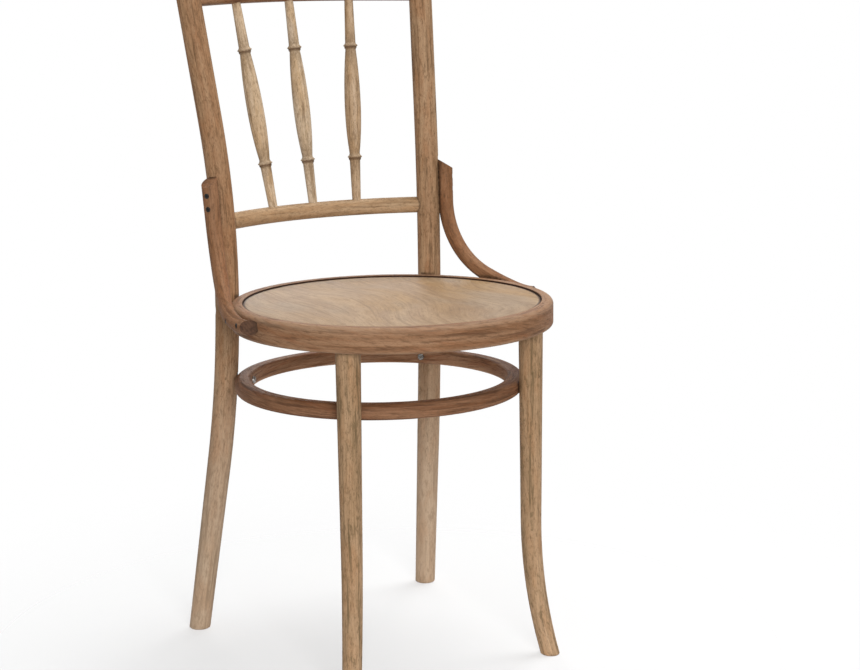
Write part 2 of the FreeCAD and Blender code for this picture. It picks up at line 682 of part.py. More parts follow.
def make_lower_rail():
    rail = make_body("lower_back_rail")
    middle = rail_post.y + size("lower_rail_bow") - rail_bend
    half_turn = math.asin(rail_bend_sine)
    path = make_sketch(rail, "lower_rail_path", V(0, middle, lower_rail_height), Rotation())
    path.addGeometry(Part.ArcOfCircle(Part.Circle(V(), UP, rail_bend),
                                      math.pi / 2 - half_turn, math.pi / 2 + half_turn))
    path.addConstraint(Sketcher.Constraint("Coincident", 0, 3, -1, 1))
    index = path.addConstraint(Sketcher.Constraint("Radius", 0, rail_bend))
    path.setExpression(f"Constraints[{index}]", "Places.rail_bend")
    path.addConstraint(Sketcher.Constraint("Symmetric", 0, 1, 0, 2, -2))
    keep_place("rail_half_span", rail_post.x)
    doc.recompute([places])
    index = path.addConstraint(Sketcher.Constraint("DistanceX", -1, 1, 0, 1, rail_post.x))
    path.setExpression(f"Constraints[{index}]", "Places.rail_half_span")
    along = V(-rail_bend_cosine, rail_bend_sine, 0)
    section = circle_section(rail, "lower_rail_section", rail_post, along, "Sizes.lower_rail_radius")
    pipe(rail, "lower_rail_rod", path, [section])
    cope_to_posts(rail, "lower_rail", lower_rail_height)
    for side_name, side in SIDES:
        at, inward = rail_tenon_start(side)
        root = 6.0
        cylinder(rail, f"{side_name}_lower_rail_tenon", at - inward * root, inward,
                 "Sizes.lower_rail_tenon_radius",
                 f"{root} + Sizes.post_radius + Sizes.rail_tenon_length / 2", kind="Additive")
    for name, foot, direction, _ in spindle_places():
        cylinder(rail, f"{name}_foot_mortise", foot - direction * size("mortise_bottom"), direction,
                 "Sizes.spindle_tenon_radius + Sizes.fit_gap", f"Sizes.lower_rail_radius + {RUN_OUT}")
        cylinder(rail, f"{name}_foot_seat", foot + direction * spindle_shoulder, direction,
                 "Sizes.spindle_end_radius + Sizes.fit_gap", "Sizes.lower_rail_radius")
    return rail


def cope_to_posts(rail, name, height):
    """Shape a rail's ends to the posts' round sides."""
    reach = 60
    for side_name, side in SIDES:
        direction = mirrored(post_direction(height), side)
        start = mirrored(post_point(height), side) - direction * reach
        cylinder(rail, f"{side_name}_{name}_cope", start, direction, "Sizes.post_radius + Sizes.fit_gap",
                 f"{2 * reach}")


# Crest rail: a board bent to the same bow, arched above and below, tenoned between the posts.
def crest_point(x, back, up):
    return crest_frame.multVec(V(x, back, up))


def crest_tenon_corner(side, gap):
    """The low corner of a crest tenon's box, which runs out of the board's end into the post."""
    sine = crest_post.x / crest_bend
    along = V(side * math.sqrt(1 - sine ** 2), -sine, 0)
    across = V(sine * side, math.sqrt(1 - sine ** 2), 0)
    length = size("post_radius") + gap
    corner = (V(side * crest_post.x, 0, 0) - along * length
              - across * (size("crest_tenon_thickness") / 2 + gap)
              - UP * (size("crest_tenon_height") / 2 + gap))
    if side < 0:
        corner = corner + across * (size("crest_tenon_thickness") + 2 * gap)
    local = Rotation(along, UP.cross(along), UP, "ZXY")
    return crest_frame.multVec(corner), crest_frame.Rotation.multiply(local)


def make_crest_rail():
    rail = make_body("crest_rail")
    bend, bow = crest_bend, size("crest_bow")
    half = size("crest_thickness") / 2
    half_turn = math.asin(crest_post.x / bend)
    centre_back = bow - bend
    deepest = 60.0
    plan = make_sketch(rail, "crest_plan", crest_point(0, centre_back, -deepest), crest_frame.Rotation)
    start, stop = math.pi / 2 - half_turn, math.pi / 2 + half_turn
    inner, outer = bend - half, bend + half

    def ray(radius, angle):
        return V(radius * math.cos(angle), radius * math.sin(angle), 0)

    plan.addGeometry(Part.ArcOfCircle(Part.Circle(V(), UP, outer), start, stop))
    plan.addGeometry(Part.LineSegment(ray(outer, stop), ray(inner, stop)))
    plan.addGeometry(Part.ArcOfCircle(Part.Circle(V(), UP, inner), start, stop))
    plan.addGeometry(Part.LineSegment(ray(inner, start), ray(outer, start)))
    for parts in ((0, 2, 1, 1), (1, 2, 2, 2), (2, 1, 3, 1), (3, 2, 0, 1)):
        plan.addConstraint(Sketcher.Constraint("Coincident", *parts))
    plan.addConstraint(Sketcher.Constraint("Coincident", 0, 3, -1, 1))
    plan.addConstraint(Sketcher.Constraint("Coincident", 2, 3, -1, 1))
    for line, expression in ((0, "Places.crest_bend + Sizes.crest_thickness / 2"),
                             (2, "Places.crest_bend - Sizes.crest_thickness / 2")):
        index = plan.addConstraint(Sketcher.Constraint("Radius", line, outer if line == 0 else inner))
        plan.setExpression(f"Constraints[{index}]", expression)
    board = rail.newObject("PartDesign::Pad", "crest_board")
    board.Profile = plan
    board.Length = 2 * deepest

    # The band saw's two arched cuts, one above the board and one below it.
    for name, sign, rise in (("crest_top_cut", 1, size("crest_top_arch")),
                             ("crest_under_cut", -1, size("crest_under_arch"))):
        at_post = sign * size("crest_half_depth_at_posts")
        arch = bow_radius(crest_post.x, rise)
        edge_x = crest_post.x + size("crest_thickness")
        far = sign * (deepest + 2 * RUN_OUT)
        turn = crest_frame.Rotation.multiply(Rotation(V(1, 0, 0), V(0, 0, 1), V(0, -1, 0), "ZXY"))
        cut = make_sketch(rail, name + "_outline", crest_point(0, 0, 0), turn)
        half_arch = math.asin(edge_x / arch)
        centre = at_post + rise - arch
        end_z = centre + math.sqrt(arch ** 2 - edge_x ** 2)
        cut.addGeometry(Part.ArcOfCircle(Part.Circle(V(0, centre, 0), UP, arch),
                                         math.pi / 2 - half_arch, math.pi / 2 + half_arch))
        corners = [V(-edge_x, end_z, 0), V(-edge_x, far, 0), V(edge_x, far, 0), V(edge_x, end_z, 0)]
        for first, second in zip(corners, corners[1:]):
            cut.addGeometry(Part.LineSegment(first, second))
        pocket = rail.newObject("PartDesign::Pocket", name)
        pocket.Profile = cut
        pocket.Type = "ThroughAll"
        pocket.Midplane = True

    def long_edge(edge):
        local = crest_frame.inverse()
        ends = [local.multVec(edge.valueAt(edge.FirstParameter + share * (edge.LastParameter - edge.FirstParameter)))
                for share in (0.0, 0.5, 1.0)]
        return all(abs(end.x) > crest_post.x / 2 for end in ends[::2]) and abs(ends[1].x) < half
    dress(rail, "Fillet", "crest_long_edges", pocket, long_edge, Radius="Sizes.crest_edge_rounding")
    cope_to_posts(rail, "crest", crest_height)
    for side_name, side in SIDES:
        corner, turn = crest_tenon_corner(side, 0)
        box(rail, f"{side_name}_crest_tenon", corner, turn,
            "Sizes.post_radius + Sizes.rail_tenon_length", "Sizes.crest_tenon_thickness",
            "Sizes.crest_tenon_height", kind="Additive")
    for name, _, direction, top in spindle_places():
        below = 3 * RUN_OUT
        start = top - direction * below
        cylinder(rail, f"{name}_top_mortise", start, direction, "Sizes.spindle_tenon_radius + Sizes.fit_gap",
                 f"{below} + Sizes.spindle_tenon_length + Sizes.mortise_bottom")
        cylinder(rail, f"{name}_top_seat", start, direction, "Sizes.spindle_end_radius + Sizes.fit_gap",
                 f"{below} + Sizes.spindle_top_socket")
    return rail


# Spindles: turned rods between the rails, each with two lipped beads and a belly. A bead's underside
# is rounded and its top is hollowed: shares of the way out and of the way up where each arc passes.
ROUND_SHARE = (0.80, 0.36)
HOLLOW_SHARE = (0.68, 0.30)


def crest_under_height(x):
    """How far below the crest's middle its lower edge lies, along the board."""
    arch = bow_depth(crest_post.x, size("crest_under_arch"), x)
    return arch - size("crest_half_depth_at_posts")


def spindle_places():
    """Each spindle's name, its foot on the lower rail's axis, its direction, and its top shoulder."""
    found = []
    for name, step in (("left_spindle", -1), ("middle_spindle", 0), ("right_spindle", 1)):
        foot_x = step * size("spindle_foot_spacing")
        top_x = step * size("spindle_top_spacing")
        foot = V(foot_x, rail_post.y + bow_depth(rail_post.x, size("lower_rail_bow"), foot_x),
                 lower_rail_height)
        top = crest_point(top_x, bow_depth(crest_post.x, size("crest_bow"), top_x), crest_under_height(top_x))
        found.append((name, foot, (top - foot).normalize(), top))
    return found


def make_spindle(name, foot, direction, top):
    spindle = make_body(name)
    length = (top - foot).Length
    keep_place(f"{name}_length", length)
    doc.recompute([places])
    drawn = make_sketch(spindle, f"{name}_profile", foot, square_to(direction).multiply(upright(V(1, 0, 0))))
    neck, belly, end = size("spindle_neck_radius"), size("spindle_belly_radius"), size("spindle_end_radius")
    tenon = size("spindle_tenon_radius")
    lowest = size("fit_gap")
    reach = size("spindle_tenon_length")

    def bead(at):
        """One bead, going up: its rounded underside, the lip, and the cove. Ends on the neck."""
        lip_radius, lip_top = size("spindle_lip_radius"), at + size("spindle_lip_thickness")
        under, over = (neck, at - size("spindle_bead_under")), (neck, lip_top + size("spindle_cove"))
        groove = (size("spindle_groove_radius"), at)
        arc_between(drawn, under, groove, ROUND_SHARE)
        lines(drawn, [groove, (lip_radius, at), (lip_radius, lip_top)])
        arc_between(drawn, (lip_radius, lip_top), over, HOLLOW_SHARE)
        return under, over

    under_low, over_low = bead(size("spindle_lower_bead"))
    under_high, over_high = bead(size("spindle_upper_bead"))
    widest = (belly, size("spindle_belly_place"))
    lines(drawn, [(0, lowest), (tenon, lowest), (tenon, spindle_shoulder), (end, spindle_shoulder), under_low])
    swell(drawn, over_low, widest)
    swell(drawn, widest, under_high)
    top_shoulder = length + size("spindle_top_socket")
    lines(drawn, [over_high, (end, top_shoulder), (tenon, top_shoulder),
                  (tenon, length + reach), (0, length + reach), (0, lowest)])
    turned_rod = spindle.newObject("PartDesign::Revolution", f"{name}_turned")
    turned_rod.Profile = drawn
    turned_rod.ReferenceAxis = (drawn, ["V_Axis"])
    turned_rod.Angle = 360
    return spindle


def lines(drawn, points):
    for (x, y), (nx, ny) in zip(points, points[1:]):
        drawn.addGeometry(Part.LineSegment(V(x, y, 0), V(nx, ny, 0)))


def arc_between(drawn, start, stop, share):
    """An arc that passes a point at the given share of the way out and of the way up."""
    (x0, y0), (x1, y1) = start, stop
    middle = V(x0 + (x1 - x0) * share[0], y0 + (y1 - y0) * share[1], 0)
    drawn.addGeometry(Part.Arc(V(x0, y0, 0), middle, V(x1, y1, 0)))


def swell(drawn, start, stop):
    """An arc between a neck and the belly that runs level with the axis at the belly."""
    (x0, y0), (x1, y1) = start, stop
    (neck_x, neck_y), (belly_x, belly_y) = ((x0, y0), (x1, y1)) if x1 > x0 else ((x1, y1), (x0, y0))
    rise, run = belly_x - neck_x, abs(neck_y - belly_y)
    radius = (rise ** 2 + run ** 2) / (2 * rise)
    half = math.asin(run / radius) / 2
    way = 1 if neck_y > belly_y else -1
    middle = V(belly_x - radius * (1 - math.cos(half)), belly_y + way * radius * math.sin(half), 0)
    drawn.addGeometry(Part.Arc(V(x0, y0, 0), middle, V(x1, y1, 0)))


# Arms: a bent rod, thinner towards its lower end, screwed to the outer side of each post and wrapped
# round the seat ring. The rod is bent with waste at both ends and sawn off slantwise.
TOP_WASTE = 12.0
END_WASTE = 30.0
SAWN_BLOCK = 60.0  # the waste that a slanted cut takes away
PLANED_WIDTH = 100.0  # wider than any arm or post
arm_offset = size("post_radius") - size("arm_flat") / 2 + size("arm_radius") - size("arm_flat")
arm_ring_radius = size("seat_radius") + size("arm_end_radius") - size("arm_ring_seat")


def arm_outward(side):
    a = math.radians(size("arm_forward_angle"))
    return V(side * math.cos(a), -math.sin(a), 0)


def arm_on_post(height, side):
    return mirrored(post_point(height), side) + arm_outward(side) * arm_offset


def arm_on_ring(angle, height, side):
    return mirrored(turned(angle, arm_ring_radius, height), side)


def arc_onward(start, tangent, stop):
    """The arc that leaves `start` along `tangent` and ends at `stop`, and its tangent there."""
    chord = (stop - start).normalize()
    leaving = chord * (2 * chord.dot(tangent)) - tangent
    half_turn = math.acos(max(-1, min(1, chord.dot(tangent))))
    bulge = (tangent - chord * chord.dot(tangent)).normalize()
    middle = (start + stop) * 0.5 + bulge * ((stop - start).Length / 2 * math.tan(half_turn / 2))
    return Part.Arc(start, middle, stop), leaving


def arm_path(side):
    top = arm_on_post(arm_top_height, side)
    leave = arm_on_post(arm_leave_height, side)
    stops = [arm_on_ring(size(f"arm_{which}_angle"), arm_height(which), side)
             for which in ("first", "second", "end")]
    tangent = (leave - top).normalize()
    edges = [Part.LineSegment(top - tangent * TOP_WASTE, leave).toShape()]
    start = leave
    for stop in stops:
        arc, tangent = arc_onward(start, tangent, stop)
        edges.append(arc.toShape())
        start = stop
    tail = stops[-1] + tangent * END_WASTE
    edges.append(Part.LineSegment(stops[-1], tail).toShape())
    return Part.Wire(edges), top, (leave - top).normalize(), stops[-1], tangent


def make_arm(side_name, side):
    wire, top, down, end, end_tangent = arm_path(side)
    spine = doc.addObject("Part::Feature", f"{side_name}_arm_path")
    spine.Shape = wire
    thick_section = doc.addObject("Part::Circle", f"{side_name}_arm_thick_section")
    bound(thick_section, Radius="Sizes.arm_radius")
    thick_section.Placement = Placement(top - down * TOP_WASTE, square_to(down))
    thin_section = doc.addObject("Part::Circle", f"{side_name}_arm_thin_section")
    bound(thin_section, Radius="Sizes.arm_end_radius")
    thin_section.Placement = Placement(end + end_tangent * END_WASTE, square_to(end_tangent))
    rod = doc.addObject("Part::Sweep", f"{side_name}_arm_rod")
    rod.Sections = [thick_section, thin_section]
    rod.Spine = (spine, [f"Edge{i + 1}" for i in range(len(wire.Edges))])
    rod.Solid = True
    rod.Frenet = False

    outward = arm_outward(side)
    tools = []

    # The flat that lies on the post, the hollow that fits the ring, and the two slanted end cuts.
    flat = doc.addObject("Part::Box", f"{side_name}_arm_post_flat")
    flat.Width = PLANED_WIDTH
    below = size("post_radius")
    bound(flat, Length="2 * Sizes.post_radius",
          Height=f"Sizes.arm_top_above_seat - Sizes.arm_leave_above_seat + 3 * Sizes.post_radius + {TOP_WASTE}")
    inward = -outward
    base = arm_on_post(arm_leave_height, side)
    lean = -down
    turn = Rotation(inward - lean * inward.dot(lean), lean.cross(inward), lean, "ZXY")
    depth = size("arm_radius") - size("arm_flat")
    across = lean.cross(inward).normalize()
    flat.Placement = Placement(base - lean * below + inward * depth - across * (PLANED_WIDTH / 2), turn)
    tools.append(flat)
    hollow = doc.addObject("Part::Cylinder", f"{side_name}_arm_ring_hollow")
    bound(hollow, Radius="Sizes.seat_radius + Sizes.fit_gap / 2", Height="3 * Sizes.seat_ring_height")
    hollow.Placement = Placement(seat_axis + UP * (seat_underside - size("seat_ring_height")), Rotation())
    tools.append(hollow)
    for name, at, axis, hinge, bevel in (
            ("top", top, -down, UP.cross(outward), size("arm_top_bevel")),
            ("end", end, end_tangent, UP, size("arm_end_bevel"))):
        cut = doc.addObject("Part::Box", f"{side_name}_arm_{name}_cut")
        cut.Length = cut.Width = cut.Height = SAWN_BLOCK
        slope = bevel if name == "top" else bevel * side
        tilted = Rotation(hinge, slope).multVec(axis)
        plane = square_to(tilted)
        cut.Placement = Placement(at - plane.multVec(V(SAWN_BLOCK / 2, SAWN_BLOCK / 2, 0)), plane)
        tools.append(cut)
    on_ring = [ring_screw(which, side) for which in ("first", "second")]
    for where, screws in (("post", upper_screws(side)), ("ring", on_ring)):
        for number, (at, inward) in enumerate(screws, start=1):
            tools += countersink(f"{side_name}_arm_{where}_hole_{number}", at, inward)
    cutter = doc.addObject("Part::MultiFuse", f"{side_name}_arm_cutter")
    cutter.Shapes = tools
    arm = doc.addObject("Part::Cut", f"{side_name}_arm")
    arm.Base = rod
    arm.Tool = cutter
    arm.Label = f"{side_name}_arm"
    return arm


def upper_screws(side):
    """The two screws through the arm's top into the post: head point and direction."""
    found = []
    for step in (0, 1):
        height = arm_top_height - size("upper_screw_below_arm_top") - step * size("upper_screw_spacing")
        outward = arm_outward(side)
        found.append((arm_on_post(height, side) + outward * (size("arm_radius") - size("arm_screw_sink")), -outward))
    return found


def ring_screw(which, side):
    """A screw through the arm's lower end into the seat ring: head point and direction."""
    angle = size(f"ring_screw_{which}_angle")
    second, end = arm_height("second"), arm_height("end")
    span = size("arm_second_angle") - size("arm_end_angle")
    share = (angle - size("arm_end_angle")) / span
    height = end + share * (second - end)
    head = mirrored(turned(angle, arm_ring_radius + size("arm_end_radius") - size("arm_screw_sink"), height), side)
    inward = V(0, seat_y, height) - head
    return head, inward.normalize()


def countersink(name, at, inward):
    """A drilled hole with a cone at its mouth, as two primitives."""
    mouth = doc.addObject("Part::Cone", f"{name}_mouth")
    bound(mouth, Radius1="Sizes.arm_screw_head_radius + 2 * Sizes.fit_gap",
          Radius2="Sizes.arm_screw_radius + Sizes.fit_gap", Height="Sizes.arm_screw_head_depth")
    mouth.Placement = Placement(at, square_to(inward))
    entry = doc.addObject("Part::Cylinder", f"{name}_entry")
    bound(entry, Radius="Sizes.arm_screw_head_radius + 2 * Sizes.fit_gap",
          Height=f"Sizes.arm_screw_sink + {RUN_OUT}")
    entry.Placement = Placement(at - inward * (size("arm_screw_sink") + RUN_OUT), square_to(inward))
    shank = doc.addObject("Part::Cylinder", f"{name}_shank")
    bound(shank, Radius="Sizes.arm_screw_radius + Sizes.fit_gap", Height="Sizes.arm_screw_length")
    shank.Placement = Placement(at, square_to(inward))
    return [entry, mouth, shank]


def pilot(body, name, at, inward):
    cylinder(body, name, at, inward, "Sizes.arm_screw_radius + Sizes.fit_gap / 2",
             "Sizes.arm_screw_length + Sizes.fit_gap")


def arm_flat_on_post(post, side_name, side):
    """A shallow flat planed on the post where the arm is screwed."""
    outward = arm_outward(side)
    top, base = arm_on_post(arm_top_height, side), arm_on_post(arm_leave_height, side)
    lean = (top - base).normalize()
    turn = Rotation(outward - lean * outward.dot(lean), lean.cross(outward), lean, "ZXY")
    across = lean.cross(outward).normalize()
    depth = size("arm_radius") - size("arm_flat")
    corner = base - lean * size("post_radius") - outward * depth - across * (PLANED_WIDTH / 2)
    box(post, f"{side_name}_post_arm_flat", corner, turn, "Sizes.post_radius", f"{PLANED_WIDTH}",
        "Sizes.arm_top_above_seat - Sizes.arm_leave_above_seat + Sizes.post_radius + Sizes.arm_radius")


# Fasteners. Each kind is one group of separate solids.
def fuse(name, solids):
    fused = doc.addObject("Part::MultiFuse", name)
    fused.Shapes = solids
    return fused


def rod_at(name, at, direction, radius, height):
    made = doc.addObject("Part::Cylinder", name)
    bound(made, Radius=radius, Height=height)
    made.Placement = Placement(at, square_to(direction))
    return made


def group(name, members):
    made = doc.addObject("Part::Compound", name)
    made.Links = members
    made.Label = name
    return made


def cross_recess(name, at, inward, length):
    """A driver's cross, sunk into a head whose top is at the point given."""
    bars = []
    for bar_name, long_way in (("first_bar", "Length"), ("second_bar", "Width")):
        short_way = "Width" if long_way == "Length" else "Length"
        bar = doc.addObject("Part::Box", f"{name}_{bar_name}")
        bound(bar, Height="2 * Sizes.screw_cross_depth",
              **{long_way: f"Sizes.{length}", short_way: "Sizes.screw_cross_width"})
        plane = square_to(inward)
        reach, half = size(length) / 2, size("screw_cross_width") / 2
        corner = V(-reach, -half, 0) if long_way == "Length" else V(-half, -reach, 0)
        bar.Placement = Placement(at + plane.multVec(corner - UP * size("screw_cross_depth")), plane)
        bars.append(bar)
    return fuse(name, bars)


def crossed(name, screw, recess):
    made = doc.addObject("Part::Cut", name)
    made.Base, made.Tool = screw, recess
    return made


def arm_screw(name, at, inward):
    head = doc.addObject("Part::Cone", f"{name}_head")
    bound(head, Radius1="Sizes.arm_screw_head_radius", Radius2="Sizes.arm_screw_radius",
          Height="Sizes.arm_screw_head_depth")
    head.Placement = Placement(at, square_to(inward))
    shank = rod_at(f"{name}_shank", at + inward * 1, inward, "Sizes.arm_screw_radius",
                   "Sizes.arm_screw_length - 1")
    recess = cross_recess(f"{name}_cross", at, inward, "arm_screw_cross_length")
    return crossed(name, fuse(f"{name}_blank", [head, shank]), recess)


def make_arm_screws():
    on_posts, on_ring = [], []
    for side_name, side in SIDES:
        for number, (at, inward) in enumerate(upper_screws(side), start=1):
            on_posts.append(arm_screw(f"{side_name}_upper_screw_{number}", at, inward))
        for which in ("first", "second"):
            on_ring.append(arm_screw(f"{side_name}_{which}_ring_screw", *ring_screw(which, side)))
    return [group("arm_post_screws", on_posts), group("arm_seat_screws", on_ring)]


def make_stretcher_screws():
    screws = []
    for side_name, side in SIDES:
        for where, leg_point in (("back", post_point), ("front", front_point)):
            at, outward = stretcher_screw(leg_point(stretcher_height), side)
            name = f"{side_name}_{where}_stretcher_screw"
            shank = rod_at(f"{name}_shank", at - outward * 1, outward, "Sizes.stretcher_screw_radius",
                           "Sizes.stretcher_screw_length + 1")
            ball = doc.addObject("Part::Sphere", f"{name}_dome")
            bound(ball, Radius="Sizes.stretcher_screw_head_radius", Angle1="0")
            ball.Placement = Placement(at, square_to(-outward))
            trim = rod_at(f"{name}_trim", at, -outward, "Sizes.stretcher_screw_head_radius",
                          "Sizes.stretcher_screw_head_height")
            head = doc.addObject("Part::Common", f"{name}_head")
            head.Base, head.Tool = ball, trim
            top = at - outward * size("stretcher_screw_head_height")
            recess = cross_recess(f"{name}_cross", top, outward, "stretcher_screw_cross_length")
            screws.append(crossed(name, fuse(f"{name}_blank", [head, shank]), recess))
    return [group("stretcher_screws", screws)]


def make_seat_bolts():
    bolts, washers, nuts = [], [], []
    head_seat = post_reach + size("post_radius") - size("bolt_head_seat")
    washer_seat = ring_hole_radius + size("bolt_washer_seat")
    for side_name, side in SIDES:
        out = bolt_direction(side)
        washer_face = washer_seat - size("bolt_washer_thickness")
        nut_face = washer_face - size("bolt_nut_height")
        bolt_end = nut_face - size("bolt_end_past_nut")
        keep_place(f"{side_name}_bolt_length", head_seat - bolt_end)
        doc.recompute([places])
        shank = rod_at(f"{side_name}_bolt_shank", bolt_point(side, bolt_end), out, "Sizes.bolt_radius",
                       f"Places.{side_name}_bolt_length")
        head = rod_at(f"{side_name}_bolt_flange", bolt_point(side, head_seat), out, "Sizes.bolt_head_radius",
                      "Sizes.bolt_head_height")
        doc.recompute([head])
        dome = doc.addObject("Part::Fillet", f"{side_name}_bolt_dome")
        dome.Base = head
        rim = next(i for i, edge in enumerate(head.Shape.Edges, start=1)
                   if edge.Curve.TypeId == "Part::GeomCircle"
                   and abs((edge.Curve.Center - bolt_point(side, head_seat)).Length) > 1)
        rounding = size("bolt_head_height") * 0.8
        dome.Edges = [(rim, rounding, rounding)]
        bolts.append(fuse(f"{side_name}_seat_bolt", [dome, shank]))
        disc = rod_at(f"{side_name}_washer_disc", bolt_point(side, washer_face), out,
                      "Sizes.bolt_washer_radius", "Sizes.bolt_washer_thickness")
        hole = rod_at(f"{side_name}_washer_hole", bolt_point(side, washer_face - 1), out,
                      "Sizes.bolt_radius + Sizes.fit_gap", "Sizes.bolt_washer_thickness + 2")
        washer = doc.addObject("Part::Cut", f"{side_name}_washer")
        washer.Base, washer.Tool = disc, hole
        washers.append(washer)
        hexagon = doc.addObject("Part::Prism", f"{side_name}_nut_hexagon")
        hexagon.Polygon = 6
        bound(hexagon, Circumradius="Sizes.bolt_nut_across_flats / sqrt(3)", Height="Sizes.bolt_nut_height")
        hexagon.Placement = Placement(bolt_point(side, nut_face), square_to(out))
        bore = rod_at(f"{side_name}_nut_bore", bolt_point(side, nut_face - 1), out,
                      "Sizes.bolt_radius + Sizes.fit_gap / 2", "Sizes.bolt_nut_height + 2")
        nut = doc.addObject("Part::Cut", f"{side_name}_nut")
        nut.Base, nut.Tool = hexagon, bore
        nuts.append(nut)
    return [group("seat_bolts", bolts), group("seat_bolt_washers", washers), group("seat_bolt_nuts", nuts)]


# The assembly.
pieces = [make_seat_ring(), make_seat_panel()]
for side_name, side in SIDES:
    pieces.append(make_back_post(side_name, side))
    pieces.append(make_front_leg(side_name, side))
pieces.append(make_stretcher_ring())
pieces.append(make_lower_rail())
pieces.append(make_crest_rail())
pieces += [make_spindle(*spindle) for spindle in spindle_places()]
pieces += [make_arm(side_name, side) for side_name, side in SIDES]
pieces += make_arm_screws() + make_stretcher_screws() + make_seat_bolts()
doc.recompute()

failed = [o.Label for o in doc.Objects if "Invalid" in o.State or "Error" in o.State]
failed += [p.Label for p in pieces if p.Shape.isNull() or not p.Shape.isValid()]
if failed:
    raise SystemExit(f"failed: {failed}")

os.makedirs("parts", exist_ok=True)
for piece in pieces:
    piece.Shape.exportStep(f"parts/{piece.Label}.step")
    print(piece.Label, len(piece.Shape.Solids), "solids", round(piece.Shape.Volume / 1000, 1), "cm3")
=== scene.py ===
# Bentwood bistro chair: weathered beech, a pale plywood seat, dark screws.
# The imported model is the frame; every piece below keeps its place and gets its wood and metal here.
import math

import bpy
from mathutils import Matrix, Vector

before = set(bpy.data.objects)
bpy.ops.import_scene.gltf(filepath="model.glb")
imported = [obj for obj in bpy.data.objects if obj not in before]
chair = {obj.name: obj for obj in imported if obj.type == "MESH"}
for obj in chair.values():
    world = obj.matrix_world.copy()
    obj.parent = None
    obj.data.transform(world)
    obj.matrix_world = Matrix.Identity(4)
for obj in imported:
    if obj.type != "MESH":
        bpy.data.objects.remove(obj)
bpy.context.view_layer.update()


# Back posts.
# Two long beech rods, steamed and bent: they lean out of the floor to the waist beside the seat and
# lean back above it. Turned before bending, so the grain runs along each rod and bends with it.
WAIST = 0.480
LOWER_BEND, LOWER_RAKE = 1.360, math.radians(10.5)
UPPER_BEND, UPPER_RAKE = 1.110, math.radians(11.0)
SPLAY = math.radians(67.0)
POST_FOOT_X, POST_FOOT_Y = 0.15588, 0.12158
POST_RADIUS_AT_SEAT, POST_RADIUS_AT_RAIL, POST_RADIUS_AT_CREST = 0.0155, 0.0150, 0.0143
POST_PALE = (0.460, 0.292, 0.168, 1.0)
POST_MIDDLE = (0.365, 0.212, 0.115, 1.0)
POST_WARM = (0.385, 0.198, 0.096, 1.0)
POST_DARK = (0.155, 0.088, 0.042, 1.0)
POST_BLEACHED = (0.450, 0.316, 0.204, 1.0)
POST_PALER = (1.22, 1.44, 1.80, 1.0)
PORE_BROWN = (0.100, 0.058, 0.030, 1.0)
BROWNER = (0.90, 0.84, 0.79, 1.0)
UNTINTED = (1.0, 1.0, 1.0, 1.0)


def new_group(name, inputs, outputs):
    """An empty shader group with named sockets: its tree, its input sockets and its output sockets."""
    tree = bpy.data.node_groups.new(name, "ShaderNodeTree")
    for socket_name, kind, value in inputs:
        socket = tree.interface.new_socket(socket_name, in_out="INPUT", socket_type=f"NodeSocket{kind}")
        socket.default_value = value
    for socket_name, kind in outputs:
        tree.interface.new_socket(socket_name, in_out="OUTPUT", socket_type=f"NodeSocket{kind}")
    return tree, tree.nodes.new("NodeGroupInput").outputs, tree.nodes.new("NodeGroupOutput").inputs


def join(tree, value, socket):
    """Put a number, a colour or another node's output into a socket."""
    if isinstance(value, bpy.types.NodeSocket):
        tree.links.new(value, socket)
    else:
        socket.default_value = value


def reckon(tree, operation, *values):
    node = tree.nodes.new("ShaderNodeMath")
    node.operation = operation
    for value, socket in zip(values, node.inputs):
        join(tree, value, socket)
    return node.outputs[0]


def plus(tree, first, second):
    return reckon(tree, "ADD", first, second)


def minus(tree, first, second):
    return reckon(tree, "SUBTRACT", first, second)


def times(tree, first, second):
    return reckon(tree, "MULTIPLY", first, second)


def along(tree, operation, *values):
    """A sum on vectors; what comes out is a vector, or a number for a length or a dot product."""
    node = tree.nodes.new("ShaderNodeVectorMath")
    node.operation = operation
    for value, socket in zip(values, node.inputs):
        join(tree, value, socket)
    return node.outputs["Value" if operation in ("DOT_PRODUCT", "LENGTH") else "Vector"]


def split(tree, vector):
    node = tree.nodes.new("ShaderNodeSeparateXYZ")
    join(tree, vector, node.inputs[0])
    return node.outputs


def build(tree, x, y, z):
    node = tree.nodes.new("ShaderNodeCombineXYZ")
    for value, socket in zip((x, y, z), node.inputs):
        join(tree, value, socket)
    return node.outputs[0]


def span(tree, first, second):
    """How far from nought two numbers at right angles reach together."""
    return along(tree, "LENGTH", build(tree, first, second, 0.0))


def own_place(tree):
    """Where on the chair a point is, in metres: no piece is moved, so its own frame is the chair's."""
    return tree.nodes.new("ShaderNodeTexCoord").outputs["Object"]


def between(tree, value, low, high, start=0.0, stop=1.0):
    """A soft step of a value from `start` at `low` to `stop` at `high`."""
    node = tree.nodes.new("ShaderNodeMapRange")
    node.interpolation_type = "SMOOTHSTEP"
    for given, socket in zip((value, low, high, start, stop), node.inputs):
        join(tree, given, socket)
    return node.outputs[0]


def tint(tree, share, first, second, blend="MIX"):
    node = tree.nodes.new("ShaderNodeMix")
    node.data_type = "RGBA"
    node.blend_type = blend
    for value, socket in ((share, node.inputs[0]), (first, node.inputs[6]), (second, node.inputs[7])):
        join(tree, value, socket)
    return node.outputs[2]


def stain(tree, colour, mask, low, high, share, shade):
    """Bring in a share of a shade as a mask goes from `low` to `high`."""
    return tint(tree, times(tree, between(tree, mask, low, high), share), colour, shade)


